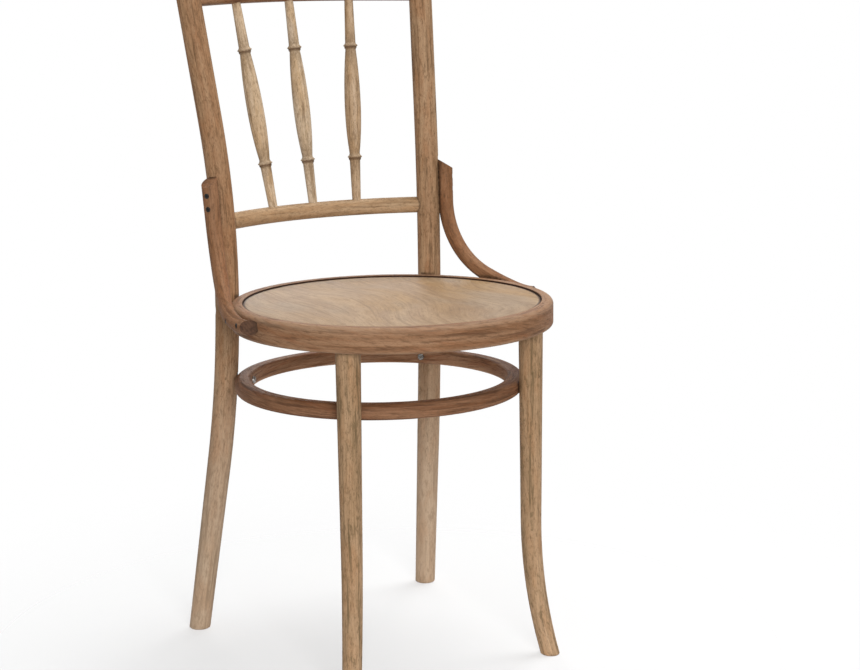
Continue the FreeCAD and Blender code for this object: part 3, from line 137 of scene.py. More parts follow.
def grain_noise(tree, run, across, length, detail, roughness, distortion, seed):
    """Noise drawn out along the grain: features `across` wide and `length` long, in metres."""
    parts = split(tree, run)
    shrunk = [reckon(tree, "DIVIDE", part, size) for part, size in zip(parts, (across, across, length))]
    node = tree.nodes.new("ShaderNodeTexNoise")
    node.noise_dimensions = "4D"
    for value, socket in ((build(tree, *shrunk), "Vector"), (seed, "W"), (1.0, "Scale"), (detail, "Detail"),
                          (roughness, "Roughness"), (distortion, "Distortion")):
        join(tree, value, node.inputs[socket])
    return node.outputs["Fac"]


# Beech that has weathered under a thin oil finish: broad pale and warm streaks, darker strands where
# dirt has gone in along the grain, a mottle where the finish has worn, and short dark flecks and pores.
# A run is (across, across, along) in metres.
GROWTH_RING = 0.0042

beech, given, made = new_group("beech_figure", (
    ("Run", "Vector", (0.0, 0.0, 0.0)), ("Pale", "Color", POST_PALE), ("Middle", "Color", POST_MIDDLE),
    ("Warm", "Color", POST_WARM), ("Dark", "Color", POST_DARK), ("Streaks", "Float", 1.0),
    ("Seed", "Float", 0.0)), (("Color", "Color"), ("Roughness", "Float"), ("Height", "Float")))
run, seed = given["Run"], given["Seed"]
broad = grain_noise(beech, run, 0.0095, 0.150, 3.0, 0.55, 0.4, seed)
hue = grain_noise(beech, run, 0.017, 0.060, 2.0, 0.5, 0.6, plus(beech, seed, 3.1))
strand = grain_noise(beech, run, 0.0042, 0.085, 3.0, 0.60, 0.5, plus(beech, seed, 7.7))
mottle = grain_noise(beech, run, 0.0040, 0.0115, 4.0, 0.68, 0.6, plus(beech, seed, 23.4))
fleck = grain_noise(beech, run, 0.0017, 0.0090, 2.0, 0.55, 0.3, plus(beech, seed, 29.8))
fibre = grain_noise(beech, run, 0.0008, 0.020, 2.0, 0.6, 0.0, plus(beech, seed, 11.3))
pore = grain_noise(beech, run, 0.00050, 0.0036, 1.0, 0.5, 0.0, plus(beech, seed, 17.9))
parts = split(beech, run)
wander = times(beech, grain_noise(beech, run, 0.030, 0.22, 2.0, 0.5, 0.0, seed), 0.030)
slice_through = plus(beech, plus(beech, parts[0], times(beech, parts[1], 0.45)), wander)
ring_line = reckon(beech, "SINE", times(beech, slice_through, 2 * math.pi / GROWTH_RING))
late_wood = between(beech, ring_line, 0.0, 1.0)
colour = tint(beech, between(beech, broad, 0.36, 0.64), given["Middle"], given["Pale"])
colour = stain(beech, colour, hue, 0.45, 0.68, 0.75, given["Warm"])
colour = stain(beech, colour, mottle, 0.50, 0.32, 0.58, given["Pale"])
for mask, low, high, share in (
        (strand, 0.50, 0.69, 0.88), (late_wood, 0.0, 1.0, 0.15), (mottle, 0.50, 0.68, 0.68)):
    dark_share = times(beech, between(beech, mask, low, high), share)
    colour = tint(beech, times(beech, dark_share, given["Streaks"]), colour, given["Dark"])
fleck_mask = between(beech, fleck, 0.56, 0.70)
colour = tint(beech, times(beech, fleck_mask, 0.42), colour, PORE_BROWN)
colour = stain(beech, colour, fibre, 0.50, 0.75, 0.34, given["Dark"])
colour = stain(beech, colour, fibre, 0.50, 0.26, 0.25, given["Pale"])
pore_mask = between(beech, pore, 0.60, 0.68)
beech.links.new(tint(beech, times(beech, pore_mask, 0.55), colour, PORE_BROWN), made["Color"])
rough = plus(beech, 0.52, times(beech, mottle, 0.20))
beech.links.new(plus(beech, rough, times(beech, pore_mask, 0.15)), made["Roughness"])
relief = minus(beech, times(beech, fibre, 0.5), times(beech, pore_mask, 0.5))
relief = minus(beech, relief, times(beech, fleck_mask, 0.4))
beech.links.new(plus(beech, relief, times(beech, strand, 0.6)), made["Height"])

# Sawn ends: the saw opens the pores, so the oil goes in and the wood turns dark, with the growth
# rings showing as fine arcs round the log's heart. The end shows where the face turns towards `Way`.
SAWN_BROWN = (0.115, 0.058, 0.034, 1.0)
SAWN_ARC = (0.040, 0.020, 0.012, 1.0)
SAWN_SOAKED = (0.038, 0.020, 0.013, 1.0)
HEART_ACROSS, HEART_DEEP = -0.021, -0.013
END_RING = 0.0031

sawn, given, made = new_group("sawn_end", (
    ("Color", "Color", POST_MIDDLE), ("Run", "Vector", (0.0, 0.0, 0.0)),
    ("Way", "Vector", (0.0, 0.0, 1.0)), ("Sharp", "Float", 0.93)), (("Color", "Color"),))
normal = sawn.nodes.new("ShaderNodeNewGeometry").outputs["Normal"]
facing = along(sawn, "DOT_PRODUCT", normal, given["Way"])
end_mask = between(sawn, facing, given["Sharp"], plus(sawn, given["Sharp"], 0.03))
parts = split(sawn, given["Run"])
soaked = grain_noise(sawn, given["Run"], 0.006, 0.006, 3.0, 0.6, 0.4, 15.0)
arc = span(sawn, minus(sawn, parts[0], HEART_ACROSS), minus(sawn, parts[1], HEART_DEEP))
arc = plus(sawn, arc, times(sawn, soaked, 0.004))
arc_line = reckon(sawn, "SINE", times(sawn, arc, 2 * math.pi / END_RING))
end_wood = stain(sawn, SAWN_BROWN, arc_line, -0.6, 1.0, 0.28, SAWN_ARC)
end_wood = tint(sawn, between(sawn, soaked, 0.42, 0.66, 0.0, 0.75), end_wood, SAWN_SOAKED)
sawn.links.new(tint(sawn, end_mask, given["Color"], end_wood), made["Color"])

# The bend of a post, undone: how far it stands out at a height is taken off, so the run is straight.
# The posts mirror each other, so the nearer post's axis is where the run's first two numbers are nought.
post_run, given, made = new_group("post_run", (), (
    ("Run", "Vector"), ("Height", "Float"), ("From Axis", "Float")))
parts = split(post_run, own_place(post_run))
rise = minus(post_run, parts[2], WAIST)
outs = []
for way, bend, rake in ((-1, LOWER_BEND, LOWER_RAKE), (1, UPPER_BEND, UPPER_RAKE)):
    past_waist = reckon(post_run, "MAXIMUM", times(post_run, rise, way), 0.0)
    in_bend = reckon(post_run, "MINIMUM", past_waist, bend * math.sin(rake))
    drop = reckon(post_run, "SQRT", minus(post_run, bend ** 2, reckon(post_run, "POWER", in_bend, 2.0)))
    straight = times(post_run, minus(post_run, past_waist, in_bend), math.tan(rake))
    outs.append(plus(post_run, minus(post_run, bend, drop), straight))
out = plus(post_run, *outs)
x = minus(post_run, minus(post_run, reckon(post_run, "ABSOLUTE", parts[0]), POST_FOOT_X),
          times(post_run, out, math.cos(SPLAY)))
y = minus(post_run, minus(post_run, parts[1], POST_FOOT_Y), times(post_run, out, math.sin(SPLAY)))
post_run.links.new(build(post_run, x, y, parts[2]), made["Run"])
post_run.links.new(parts[2], made["Height"])
post_run.links.new(span(post_run, x, y), made["From Axis"])

# Where two pieces meet, the corner darkens in a broken line that fades out: old oil and dust, with painted
# shade of the crease.
CORNER_DIRT_AND_SHADE = (0.048, 0.025, 0.013, 1.0)

corner_dirt_and_shade, given, made = new_group("corner_dirt_and_shade", (
    ("Color", "Color", POST_MIDDLE), ("Gap", "Float", 1.0), ("Reach", "Float", 0.004),
    ("Amount", "Float", 0.8)), (("Color", "Color"),))
corner_patches = grain_noise(corner_dirt_and_shade, own_place(corner_dirt_and_shade), 0.004, 0.004, 3.0, 0.65, 0.3, 19.0)
near = between(corner_dirt_and_shade, given["Gap"], given["Reach"], times(corner_dirt_and_shade, given["Reach"], 0.15))
share = times(corner_dirt_and_shade, near, between(corner_dirt_and_shade, corner_patches, 0.30, 0.60, 0.35, 1.0))
share = times(corner_dirt_and_shade, share, given["Amount"])
corner_dirt_and_shade.links.new(tint(corner_dirt_and_shade, share, given["Color"], CORNER_DIRT_AND_SHADE), made["Color"])


def place_group(material, group, **values):
    """Set a group into a material, with its own values or other nodes' outputs in its sockets."""
    tree = material.node_tree
    node = tree.nodes.new("ShaderNodeGroup")
    node.node_tree = group
    for name, value in values.items():
        join(tree, value, node.inputs[name.replace("_", " ")])
    return node.outputs


def dirt_and_shade_in_corner(material, colour, gap, reach, amount):
    """Dirt and painted shade in a corner: `gap` is how far the other piece is, `reach` how far the
    darkening comes out.
    """
    return place_group(material, corner_dirt_and_shade, Color=colour, Gap=gap, Reach=reach, Amount=amount)["Color"]


def bare_material(name, specular=0.12):
    material = bpy.data.materials.new(name)
    material.use_nodes = True
    shader = material.node_tree.nodes["Principled BSDF"]
    shader.inputs["Specular IOR Level"].default_value = specular
    return material, shader


def finish_surface(material, shader, colour, figure, relief):
    """Give the shader its colour, and the figure's roughness and height; `relief` is in metres."""
    tree = material.node_tree
    join(tree, colour, shader.inputs["Base Color"])
    join(tree, figure["Roughness"], shader.inputs["Roughness"])
    bump = tree.nodes.new("ShaderNodeBump")
    bump.inputs["Strength"].default_value = 1.0
    bump.inputs["Distance"].default_value = relief
    join(tree, figure["Height"], bump.inputs["Height"])
    join(tree, bump.outputs[0], shader.inputs["Normal"])


def wear(node_name, material):
    """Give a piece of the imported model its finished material."""
    chair[node_name].material_slots[0].material = material


SEAT_AXIS_Y = -0.03267
SEAT_TOP = 0.463
SEAT_RADIUS = 0.205  # the seat ring's outer face, from the seat's axis
RING_HEIGHT = 0.032
ARM_ACROSS, ARM_DEEP = 0.0207, -0.0126  # the arm's axis beside the post's
ARM_RADIUS_AT_POST = 0.0095
ARM_LEAVES_POST, ARM_TOP_HEIGHT = 0.558, 0.612
GRAIN_RELIEF = 0.00022

for side_name, side in (("left", -1.0), ("right", 1.0)):
    wood, shader = bare_material(f"{side_name}_post_beech")
    tree = wood.node_tree
    bent = place_group(wood, post_run)
    figure = place_group(wood, beech, Run=bent["Run"], Seed=2.0 + side)
    # The left post has kept more of its stain above the seat than the right one.
    kept = between(tree, bent["Height"], 0.35, 0.55, 0.0, 1.0 if side < 0 else 0.05)
    stained = tint(tree, kept, figure["Color"], BROWNER, "MULTIPLY")
    # Paler where mops and shoes have worn the finish near the floor.
    bleach = between(tree, bent["Height"], 0.42, 0.10)
    colour = tint(tree, bleach, stained, POST_PALER, "MULTIPLY")
    colour = tint(tree, times(tree, bleach, 0.42), colour, POST_BLEACHED)
    # Dirt and painted shade where the arm is screwed on and where the seat ring is let in.
    parts = split(tree, bent["Run"])
    from_arm = span(tree, minus(tree, parts[0], ARM_ACROSS), minus(tree, parts[1], ARM_DEEP))
    past_arm = reckon(tree, "MAXIMUM", minus(tree, parts[2], ARM_TOP_HEIGHT),
                      minus(tree, ARM_LEAVES_POST, parts[2]))
    gap = plus(tree, minus(tree, from_arm, ARM_RADIUS_AT_POST), reckon(tree, "MAXIMUM", past_arm, 0.0))
    colour = dirt_and_shade_in_corner(wood, colour, gap, 0.0050, 0.85)
    parts = split(tree, along(tree, "SUBTRACT", own_place(tree),
                              (0.0, SEAT_AXIS_Y, SEAT_TOP - RING_HEIGHT / 2)))
    from_ring = minus(tree, span(tree, parts[0], parts[1]), SEAT_RADIUS)
    past_ring = minus(tree, reckon(tree, "ABSOLUTE", parts[2]), RING_HEIGHT / 2)
    gap = span(tree, reckon(tree, "MAXIMUM", from_ring, 0.0), reckon(tree, "MAXIMUM", past_ring, 0.0))
    colour = dirt_and_shade_in_corner(wood, colour, gap, 0.0035, 0.75)
    colour = place_group(wood, sawn, Color=colour, Run=bent["Run"], Sharp=0.96)["Color"]
    finish_surface(wood, shader, colour, figure, GRAIN_RELIEF)
    wear(f"{side_name}_back_post", wood)


# Front legs.
# Two shorter beech rods, turned to a taper and bent outwards at the foot, glued by a round tenon
# into the underside of the seat ring.
BEND_START = 0.180
FOOT_BEND = 0.640
FRONT_FOOT_X, FRONT_FOOT_Y = 0.13379, -0.14856
FRONT_SPLAY = math.radians(52.0)
LEG_MIDDLE = (0.372, 0.232, 0.126, 1.0)
LEG_WARM = (0.392, 0.220, 0.110, 1.0)
LEG_DARK = (0.145, 0.096, 0.046, 1.0)
LEG_PALER = (1.12, 1.16, 1.22, 1.0)

leg_run, given, made = new_group("leg_run", (), (
    ("Run", "Vector"), ("Height", "Float"), ("From Axis", "Float")))
parts = split(leg_run, own_place(leg_run))
drop = reckon(leg_run, "MAXIMUM", minus(leg_run, BEND_START, parts[2]), 0.0)
left_over = minus(leg_run, FOOT_BEND ** 2, reckon(leg_run, "POWER", drop, 2.0))
out = minus(leg_run, FOOT_BEND, reckon(leg_run, "SQRT", left_over))
x = minus(leg_run, minus(leg_run, reckon(leg_run, "ABSOLUTE", parts[0]), FRONT_FOOT_X),
          times(leg_run, out, math.cos(FRONT_SPLAY)))
y = plus(leg_run, minus(leg_run, parts[1], FRONT_FOOT_Y), times(leg_run, out, math.sin(FRONT_SPLAY)))
leg_run.links.new(build(leg_run, x, y, parts[2]), made["Run"])
leg_run.links.new(parts[2], made["Height"])
leg_run.links.new(span(leg_run, x, y), made["From Axis"])

for side_name, side in (("left", -1.0), ("right", 1.0)):
    wood, shader = bare_material(f"{side_name}_leg_beech")
    tree = wood.node_tree
    bent = place_group(wood, leg_run)
    figure = place_group(wood, beech, Run=bent["Run"], Seed=8.0 + side, Middle=LEG_MIDDLE, Warm=LEG_WARM,
                         Dark=LEG_DARK)
    colour = tint(tree, between(tree, bent["Height"], 0.24, 0.0), figure["Color"], LEG_PALER, "MULTIPLY")
    # Dirt and painted shade under the seat ring.
    under_ring = minus(tree, SEAT_TOP - RING_HEIGHT, bent["Height"])
    colour = dirt_and_shade_in_corner(wood, colour, under_ring, 0.004, 0.70)
    finish_surface(wood, shader, colour, figure, GRAIN_RELIEF)
    wear(f"{side_name}_front_leg", wood)


# Seat ring.
# One strip of beech steamed round to a hoop. Its ends are planed to long wedges and glued over each
# other at the back, in a scarf joint that shows as one slanting line.
RING_PALE = (0.360, 0.205, 0.115, 1.0)
RING_MIDDLE = (0.256, 0.125, 0.060, 1.0)
RING_WARM = (0.274, 0.112, 0.049, 1.0)
RING_DARK = (0.110, 0.052, 0.026, 1.0)
RUBBED_BARE = (0.43, 0.29, 0.19, 1.0)
RABBET_DIRT_AND_SHADE = (0.030, 0.012, 0.006, 1.0)
GLUE_BROWN = (0.040, 0.020, 0.012, 1.0)
RABBET_RADIUS = 0.1895

# Round a hoop, the run is how far out, how high, and how far round. The scarf turns the start of the
# round with height, which puts the two ends' grain side by side along a slanting line.
hoop_run, given, made = new_group("hoop_run", (
    ("Place", "Vector", (0.0, 0.0, 0.0)), ("Middle", "Vector", (0.0, 0.0, 0.0)), ("Radius", "Float", 0.2),
    ("Scarf Slope", "Float", 0.0)),
    (("Run", "Vector"), ("Out", "Float"), ("Height", "Float"), ("Glue Line", "Float")))
parts = split(hoop_run, along(hoop_run, "SUBTRACT", given["Place"], given["Middle"]))
turn = times(hoop_run, parts[2], given["Scarf Slope"])
cosine, sine = reckon(hoop_run, "COSINE", turn), reckon(hoop_run, "SINE", turn)
across = minus(hoop_run, times(hoop_run, parts[0], cosine), times(hoop_run, parts[1], sine))
deep = plus(hoop_run, times(hoop_run, parts[0], sine), times(hoop_run, parts[1], cosine))
angle = reckon(hoop_run, "ARCTAN2", across, times(hoop_run, deep, -1.0))
out = span(hoop_run, parts[0], parts[1])
hoop_run.links.new(build(hoop_run, out, parts[2], times(hoop_run, angle, given["Radius"])), made["Run"])
hoop_run.links.new(out, made["Out"])
hoop_run.links.new(parts[2], made["Height"])
to_seam = minus(hoop_run, math.pi, reckon(hoop_run, "ABSOLUTE", angle))
to_seam = times(hoop_run, to_seam, given["Radius"])
hoop_run.links.new(between(hoop_run, to_seam, 0.0007, 0.0002), made["Glue Line"])

# Corners that hands and legs rub: the finish thins there and the wood shows paler, unevenly.
rubbed, given, made = new_group("rubbed_corner", (
    ("Color", "Color", RING_MIDDLE), ("Bare", "Color", RUBBED_BARE), ("From Corner", "Float", 1.0),
    ("Width", "Float", 0.007), ("Run", "Vector", (0.0, 0.0, 0.0)), ("Amount", "Float", 0.6)),
    (("Color", "Color"),))
patchy = grain_noise(rubbed, given["Run"], 0.006, 0.020, 3.0, 0.65, 0.5, 4.0)
near = between(rubbed, given["From Corner"], given["Width"], 0.0)
share = times(rubbed, near, between(rubbed, patchy, 0.35, 0.62, 0.35, 1.0))
share = times(rubbed, share, given["Amount"])
rubbed.links.new(tint(rubbed, share, given["Color"], given["Bare"]), made["Color"])


def rubbed_pale(material, colour, hoop, corner_out, corner_height, width, amount, **values):
    """Rub one corner of a hoop, given by how far out and how high it is."""
    tree = material.node_tree
    corner = span(tree, minus(tree, hoop["Out"], corner_out), minus(tree, hoop["Height"], corner_height))
    return place_group(material, rubbed, Color=colour, From_Corner=corner, Width=width, Run=hoop["Run"],
                       Amount=amount, **values)["Color"]


def from_posts(material, radius):
    """How far a point is from the nearer back post's face, where the post is this thick."""
    return minus(material.node_tree, place_group(material, post_run)["From Axis"], radius)


wood, shader = bare_material("seat_ring_beech")
tree = wood.node_tree
underside_middle = (0.0, SEAT_AXIS_Y, SEAT_TOP - RING_HEIGHT)
hoop = place_group(wood, hoop_run, Place=own_place(tree), Middle=underside_middle, Radius=SEAT_RADIUS,
                   Scarf_Slope=18.0)
figure = place_group(wood, beech, Run=hoop["Run"], Seed=21.0, Pale=RING_PALE, Middle=RING_MIDDLE,
                     Warm=RING_WARM, Dark=RING_DARK)
colour = figure["Color"]
# The outer upper corner, the inner one beside the panel, and the outer lower one.
for corner in ((0.203, 0.030, 0.008, 0.50), (0.1925, 0.032, 0.003, 0.30), (0.204, 0.001, 0.005, 0.35)):
    colour = rubbed_pale(wood, colour, hoop, *corner)
# Dirt and painted shade beside the back posts.
colour = dirt_and_shade_in_corner(wood, colour, from_posts(wood, POST_RADIUS_AT_SEAT), 0.004, 0.75)
# The rabbet's wall and floor beside the panel are darkened with old oil and dust, and with painted shade of
# the gap.
in_rabbet = times(tree, between(tree, hoop["Out"], RABBET_RADIUS + 0.0021, RABBET_RADIUS + 0.0009),
                  between(tree, hoop["Out"], RABBET_RADIUS - 0.0025, RABBET_RADIUS - 0.0010))
in_rabbet = times(tree, in_rabbet, between(tree, hoop["Height"], RING_HEIGHT, RING_HEIGHT - 0.0006))
colour = tint(tree, in_rabbet, colour, RABBET_DIRT_AND_SHADE)
colour = tint(tree, times(tree, hoop["Glue Line"], 0.8), colour, GLUE_BROWN)
finish_surface(wood, shader, colour, figure, GRAIN_RELIEF)
wear("seat_ring", wood)


# Seat panel.
# A disc of plywood faced with rotary-cut veneer: the knife peels the log round, so the growth rings
# come out as wide flowing arches. It runs from front to back and drops into the ring's rabbet.
PANEL_PALE = (0.435, 0.300, 0.182, 1.0)
PANEL_MIDDLE = (0.308, 0.194, 0.106, 1.0)
PANEL_GOLD = (0.378, 0.228, 0.098, 1.0)
PANEL_GREY = (0.335, 0.245, 0.162, 1.0)
PANEL_DARK = (0.162, 0.095, 0.048, 1.0)
PANEL_FLECK = (0.12, 0.07, 0.04, 1.0)
PANEL_EDGE_DIRT_AND_SHADE = (0.050, 0.021, 0.010, 1.0)
PLY_PALE, PLY_DARK = (0.30, 0.19, 0.11, 1.0), (0.17, 0.095, 0.055, 1.0)
PLY_THICKNESS = 0.0020  # of one pale and one dark layer together
PANEL_RADIUS = 0.189
VENEER_TURN = math.radians(17.0)

veneer, given, made = new_group("veneer_figure", (("Place", "Vector", (0.0, 0.0, 0.0)),), (
    ("Color", "Color"), ("Roughness", "Float"), ("Height", "Float")))
laid = veneer.nodes.new("ShaderNodeVectorRotate")
laid.rotation_type = "Z_AXIS"
join(veneer, given["Place"], laid.inputs["Vector"])
laid.inputs["Angle"].default_value = VENEER_TURN
parts = split(veneer, laid.outputs[0])
sway = times(veneer, grain_noise(veneer, laid.outputs[0], 0.22, 0.22, 0.6, 0.4, 0.0, 3.7), 0.20)
sheet_run = build(veneer, plus(veneer, parts[0], sway), parts[2], parts[1])
land = grain_noise(veneer, sheet_run, 0.085, 0.60, 1.0, 0.35, 0.15, 5.3)
arch = reckon(veneer, "SINE", times(veneer, land, 2 * math.pi * 17))
arch_fine = reckon(veneer, "SINE", times(veneer, land, 2 * math.pi * 43))
cloud = grain_noise(veneer, sheet_run, 0.030, 0.14, 3.0, 0.5, 0.3, 1.9)
gold = grain_noise(veneer, sheet_run, 0.08, 0.16, 2.0, 0.5, 0.3, 12.4)
grey = grain_noise(veneer, sheet_run, 0.07, 0.13, 2.0, 0.5, 0.3, 26.0)
band = grain_noise(veneer, sheet_run, 0.0040, 0.110, 3.0, 0.6, 0.3, 8.8)
hair = grain_noise(veneer, sheet_run, 0.0013, 0.045, 3.0, 0.6, 0.0, 2.2)
mottle = grain_noise(veneer, sheet_run, 0.0045, 0.014, 4.0, 0.65, 0.6, 31.0)
fleck = grain_noise(veneer, sheet_run, 0.0010, 0.0060, 1.0, 0.5, 0.0, 9.2)
colour = tint(veneer, between(veneer, cloud, 0.34, 0.66), PANEL_MIDDLE, PANEL_PALE)
for mask, low, high, share, shade in (
        (gold, 0.47, 0.66, 0.70, PANEL_GOLD), (grey, 0.50, 0.66, 0.70, PANEL_GREY),
        (arch, 0.10, 1.00, 0.12, PANEL_DARK), (arch_fine, 0.30, 1.00, 0.08, PANEL_DARK),
        (band, 0.49, 0.70, 0.40, PANEL_DARK), (band, 0.48, 0.30, 0.38, PANEL_PALE),
        (mottle, 0.50, 0.68, 0.42, PANEL_DARK), (mottle, 0.48, 0.30, 0.42, PANEL_PALE),
        (hair, 0.50, 0.75, 0.32, PANEL_DARK), (hair, 0.48, 0.25, 0.25, PANEL_PALE)):
    colour = stain(veneer, colour, mask, low, high, share, shade)
fleck_mask = between(veneer, fleck, 0.63, 0.70)
veneer.links.new(tint(veneer, times(veneer, fleck_mask, 0.40), colour, PANEL_FLECK), made["Color"])
veneer.links.new(plus(veneer, 0.46, times(veneer, cloud, 0.2)), made["Roughness"])
veneer.links.new(minus(veneer, hair, times(veneer, fleck_mask, 0.5)), made["Height"])

wood, shader = bare_material("seat_panel_veneer")
tree = wood.node_tree
place = own_place(tree)
figure = place_group(wood, veneer, Place=place)
parts = split(tree, along(tree, "SUBTRACT", place, (0.0, SEAT_AXIS_Y, 0.0)))
out = span(tree, parts[0], parts[1])
# The edge is darkened with dust and with painted shade of the joint, and the cut edge shows the layers of
# veneer.
edge_dust_and_shade = between(tree, out, PANEL_RADIUS - 0.0036, PANEL_RADIUS - 0.0012, 0.0, 0.92)
colour = tint(tree, edge_dust_and_shade, figure["Color"], PANEL_EDGE_DIRT_AND_SHADE)
ply = reckon(tree, "SINE", times(tree, parts[2], 2 * math.pi / PLY_THICKNESS))
plies = tint(tree, between(tree, ply, -0.2, 0.2), PLY_PALE, PLY_DARK)
colour = tint(tree, between(tree, out, PANEL_RADIUS - 0.0001, PANEL_RADIUS + 0.0003), colour, plies)
finish_surface(wood, shader, colour, figure, 0.00012)
wear("seat_panel", wood)


# Stretcher ring.
# A smaller beech hoop, bent and scarfed like the seat ring, screwed to the inner side of each leg.
# It hangs in the seat's shade and has kept more of its brown stain.
STRETCHER_Y = 0.0022
STRETCHER_RADIUS = 0.187
STRETCHER_UNDERSIDE = 0.340
STRETCHER_PALE = (0.295, 0.150, 0.080, 1.0)
STRETCHER_MIDDLE = (0.188, 0.080, 0.035, 1.0)
STRETCHER_WARM = (0.212, 0.078, 0.033, 1.0)
STRETCHER_DARK = (0.080, 0.034, 0.016, 1.0)
STRETCHER_BARE = (0.36, 0.22, 0.14, 1.0)
STRETCHER_INSIDE_PAINTED_LIGHT = (1.42, 1.55, 1.68, 1.0)
LEG_RADIUS_AT_STRETCHER = 0.0150

wood, shader = bare_material("stretcher_beech")
tree = wood.node_tree
underside_middle = (0.0, STRETCHER_Y, STRETCHER_UNDERSIDE)
hoop = place_group(wood, hoop_run, Place=own_place(tree), Middle=underside_middle, Radius=STRETCHER_RADIUS,
                   Scarf_Slope=30.0)
figure = place_group(wood, beech, Run=hoop["Run"], Seed=33.0, Pale=STRETCHER_PALE,
                     Middle=STRETCHER_MIDDLE, Warm=STRETCHER_WARM, Dark=STRETCHER_DARK)
# Shoes rub its upper corner.
colour = rubbed_pale(wood, figure["Color"], hoop, 0.181, 0.014, 0.008, 0.30, Bare=STRETCHER_BARE)
# The inner side is painted paler: painted light, as if light fell on it.
inner_side = between(tree, hoop["Out"], 0.1785, 0.1700)
colour = tint(tree, inner_side, colour, STRETCHER_INSIDE_PAINTED_LIGHT, "MULTIPLY")
# Dirt and painted shade beside the back posts and the front legs.
from_legs = minus(tree, place_group(wood, leg_run)["From Axis"], LEG_RADIUS_AT_STRETCHER)
gap = reckon(tree, "MINIMUM", from_posts(wood, POST_RADIUS_AT_SEAT), from_legs)
colour = dirt_and_shade_in_corner(wood, colour, gap, 0.005, 0.85)
colour = tint(tree, times(tree, hoop["Glue Line"], 0.8), colour, GLUE_BROWN)
finish_surface(wood, shader, colour, figure, GRAIN_RELIEF)
wear("stretcher_ring", wood)


# Lower back rail.
# A round beech rod bowed to the sitter's back, coped to the posts and glued in with round tenons.
RAIL_CURVE_MIDDLE_Y = -0.16053
RAIL_CURVE = 0.32495
RAIL_HEIGHT = 0.5567
RAIL_PALE = (0.520, 0.355, 0.215, 1.0)
RAIL_MIDDLE = (0.425, 0.265, 0.143, 1.0)
RAIL_WARM = (0.445, 0.252, 0.122, 1.0)
RAIL_DARK = (0.215, 0.130, 0.066, 1.0)


def turned_about(tree, place, middle):
    """Place round a curve's middle, front to back, so that a hoop's run starts in the bowed rail."""
    return along(tree, "MULTIPLY", along(tree, "SUBTRACT", place, middle), (1.0, -1.0, 1.0))


wood, shader = bare_material("lower_rail_beech")
tree = wood.node_tree
from_curve = turned_about(tree, own_place(tree), (0.0, RAIL_CURVE_MIDDLE_Y, RAIL_HEIGHT))
hoop = place_group(wood, hoop_run, Place=from_curve, Radius=RAIL_CURVE)
figure = place_group(wood, beech, Run=hoop["Run"], Seed=41.0, Pale=RAIL_PALE, Middle=RAIL_MIDDLE,
                     Warm=RAIL_WARM, Dark=RAIL_DARK, Streaks=0.8)
# Dirt and painted shade where the rail meets the posts.
colour = dirt_and_shade_in_corner(wood, figure["Color"], from_posts(wood, POST_RADIUS_AT_RAIL), 0.004, 0.80)
finish_surface(wood, shader, colour, figure, 0.00020)
wear("lower_back_rail", wood)


# Crest rail.
# A beech board bent to the same bow and leaning with the posts, sawn to an arch above and below,
# with its edges rounded and flat tenons in the posts.
CREST_Y = 0.16928
CREST_HEIGHT = 0.8535
CREST_LEAN = 0.17706
CREST_CURVE = 0.31424
CREST_BOW = 0.054

wood, shader = bare_material("crest_beech")
tree = wood.node_tree
leaning = tree.nodes.new("ShaderNodeVectorRotate")
leaning.rotation_type = "X_AXIS"
from_middle = along(tree, "SUBTRACT", own_place(tree), (0.0, CREST_Y, CREST_HEIGHT))
join(tree, from_middle, leaning.inputs["Vector"])
leaning.inputs["Angle"].default_value = CREST_LEAN
from_curve = turned_about(tree, leaning.outputs[0], (0.0, CREST_BOW - CREST_CURVE, 0.0))
hoop = place_group(wood, hoop_run, Place=from_curve, Radius=CREST_CURVE)
figure = place_group(wood, beech, Run=hoop["Run"], Seed=52.0, Pale=RING_PALE, Middle=RING_MIDDLE,
                     Warm=RING_WARM, Dark=RING_DARK)
# Dirt and painted shade where the crest meets the posts.
colour = dirt_and_shade_in_corner(wood, figure["Color"], from_posts(wood, POST_RADIUS_AT_CREST), 0.004, 0.80)
finish_surface(wood, shader, colour, figure, GRAIN_RELIEF)
wear("crest_rail", wood)


# Spindles.
# Three beech rods turned on the lathe, each with two lipped beads and a swelling between them. Painted
# shade darkens the beads' undercuts, and a painted highlight lightens their lips.
SPINDLE_PALE = (0.660, 0.520, 0.375, 1.0)
SPINDLE_MIDDLE = (0.550, 0.405, 0.260, 1.0)
SPINDLE_WARM = (0.570, 0.385, 0.215, 1.0)
SPINDLE_DARK = (0.255, 0.165, 0.090, 1.0)
BEAD_GRIME = (0.215, 0.140, 0.080, 1.0)
UNDERCUT_PAINTED_SHADE = (0.100, 0.052, 0.026, 1.0)
# Each spindle's step beside the middle one, its grain's seed and the tone it has kept.
SPINDLES = (("left_spindle", -1, 61.0, (1.0, 0.97, 0.93, 1.0)), ("middle_spindle", 0, 64.0, UNTINTED),
            ("right_spindle", 1, 67.0, BROWNER))
BEAD_HEIGHTS = (0.068, 0.2195)  # up the spindle from its foot
FOOT_SPACING, TOP_SPACING = 0.0636, 0.086
TOP_BELOW_CREST = 0.0115  # where the spindles' spacing is measured, down from the crest rail's middle

straight_run, given, made = new_group("straight_run", (
    ("Foot", "Vector", (0.0, 0.0, 0.0)), ("Way", "Vector", (0.0, 0.0, 1.0))),
    (("Run", "Vector"), ("Up", "Float")))
from_foot = along(straight_run, "SUBTRACT", own_place(straight_run), given["Foot"])
up = along(straight_run, "DOT_PRODUCT", from_foot, given["Way"])
on_axis = straight_run.nodes.new("ShaderNodeVectorMath")
on_axis.operation = "SCALE"
join(straight_run, given["Way"], on_axis.inputs[0])
join(straight_run, up, on_axis.inputs["Scale"])
parts = split(straight_run, along(straight_run, "SUBTRACT", from_foot, on_axis.outputs[0]))
straight_run.links.new(build(straight_run, parts[0], parts[1], up), made["Run"])
straight_run.links.new(up, made["Up"])


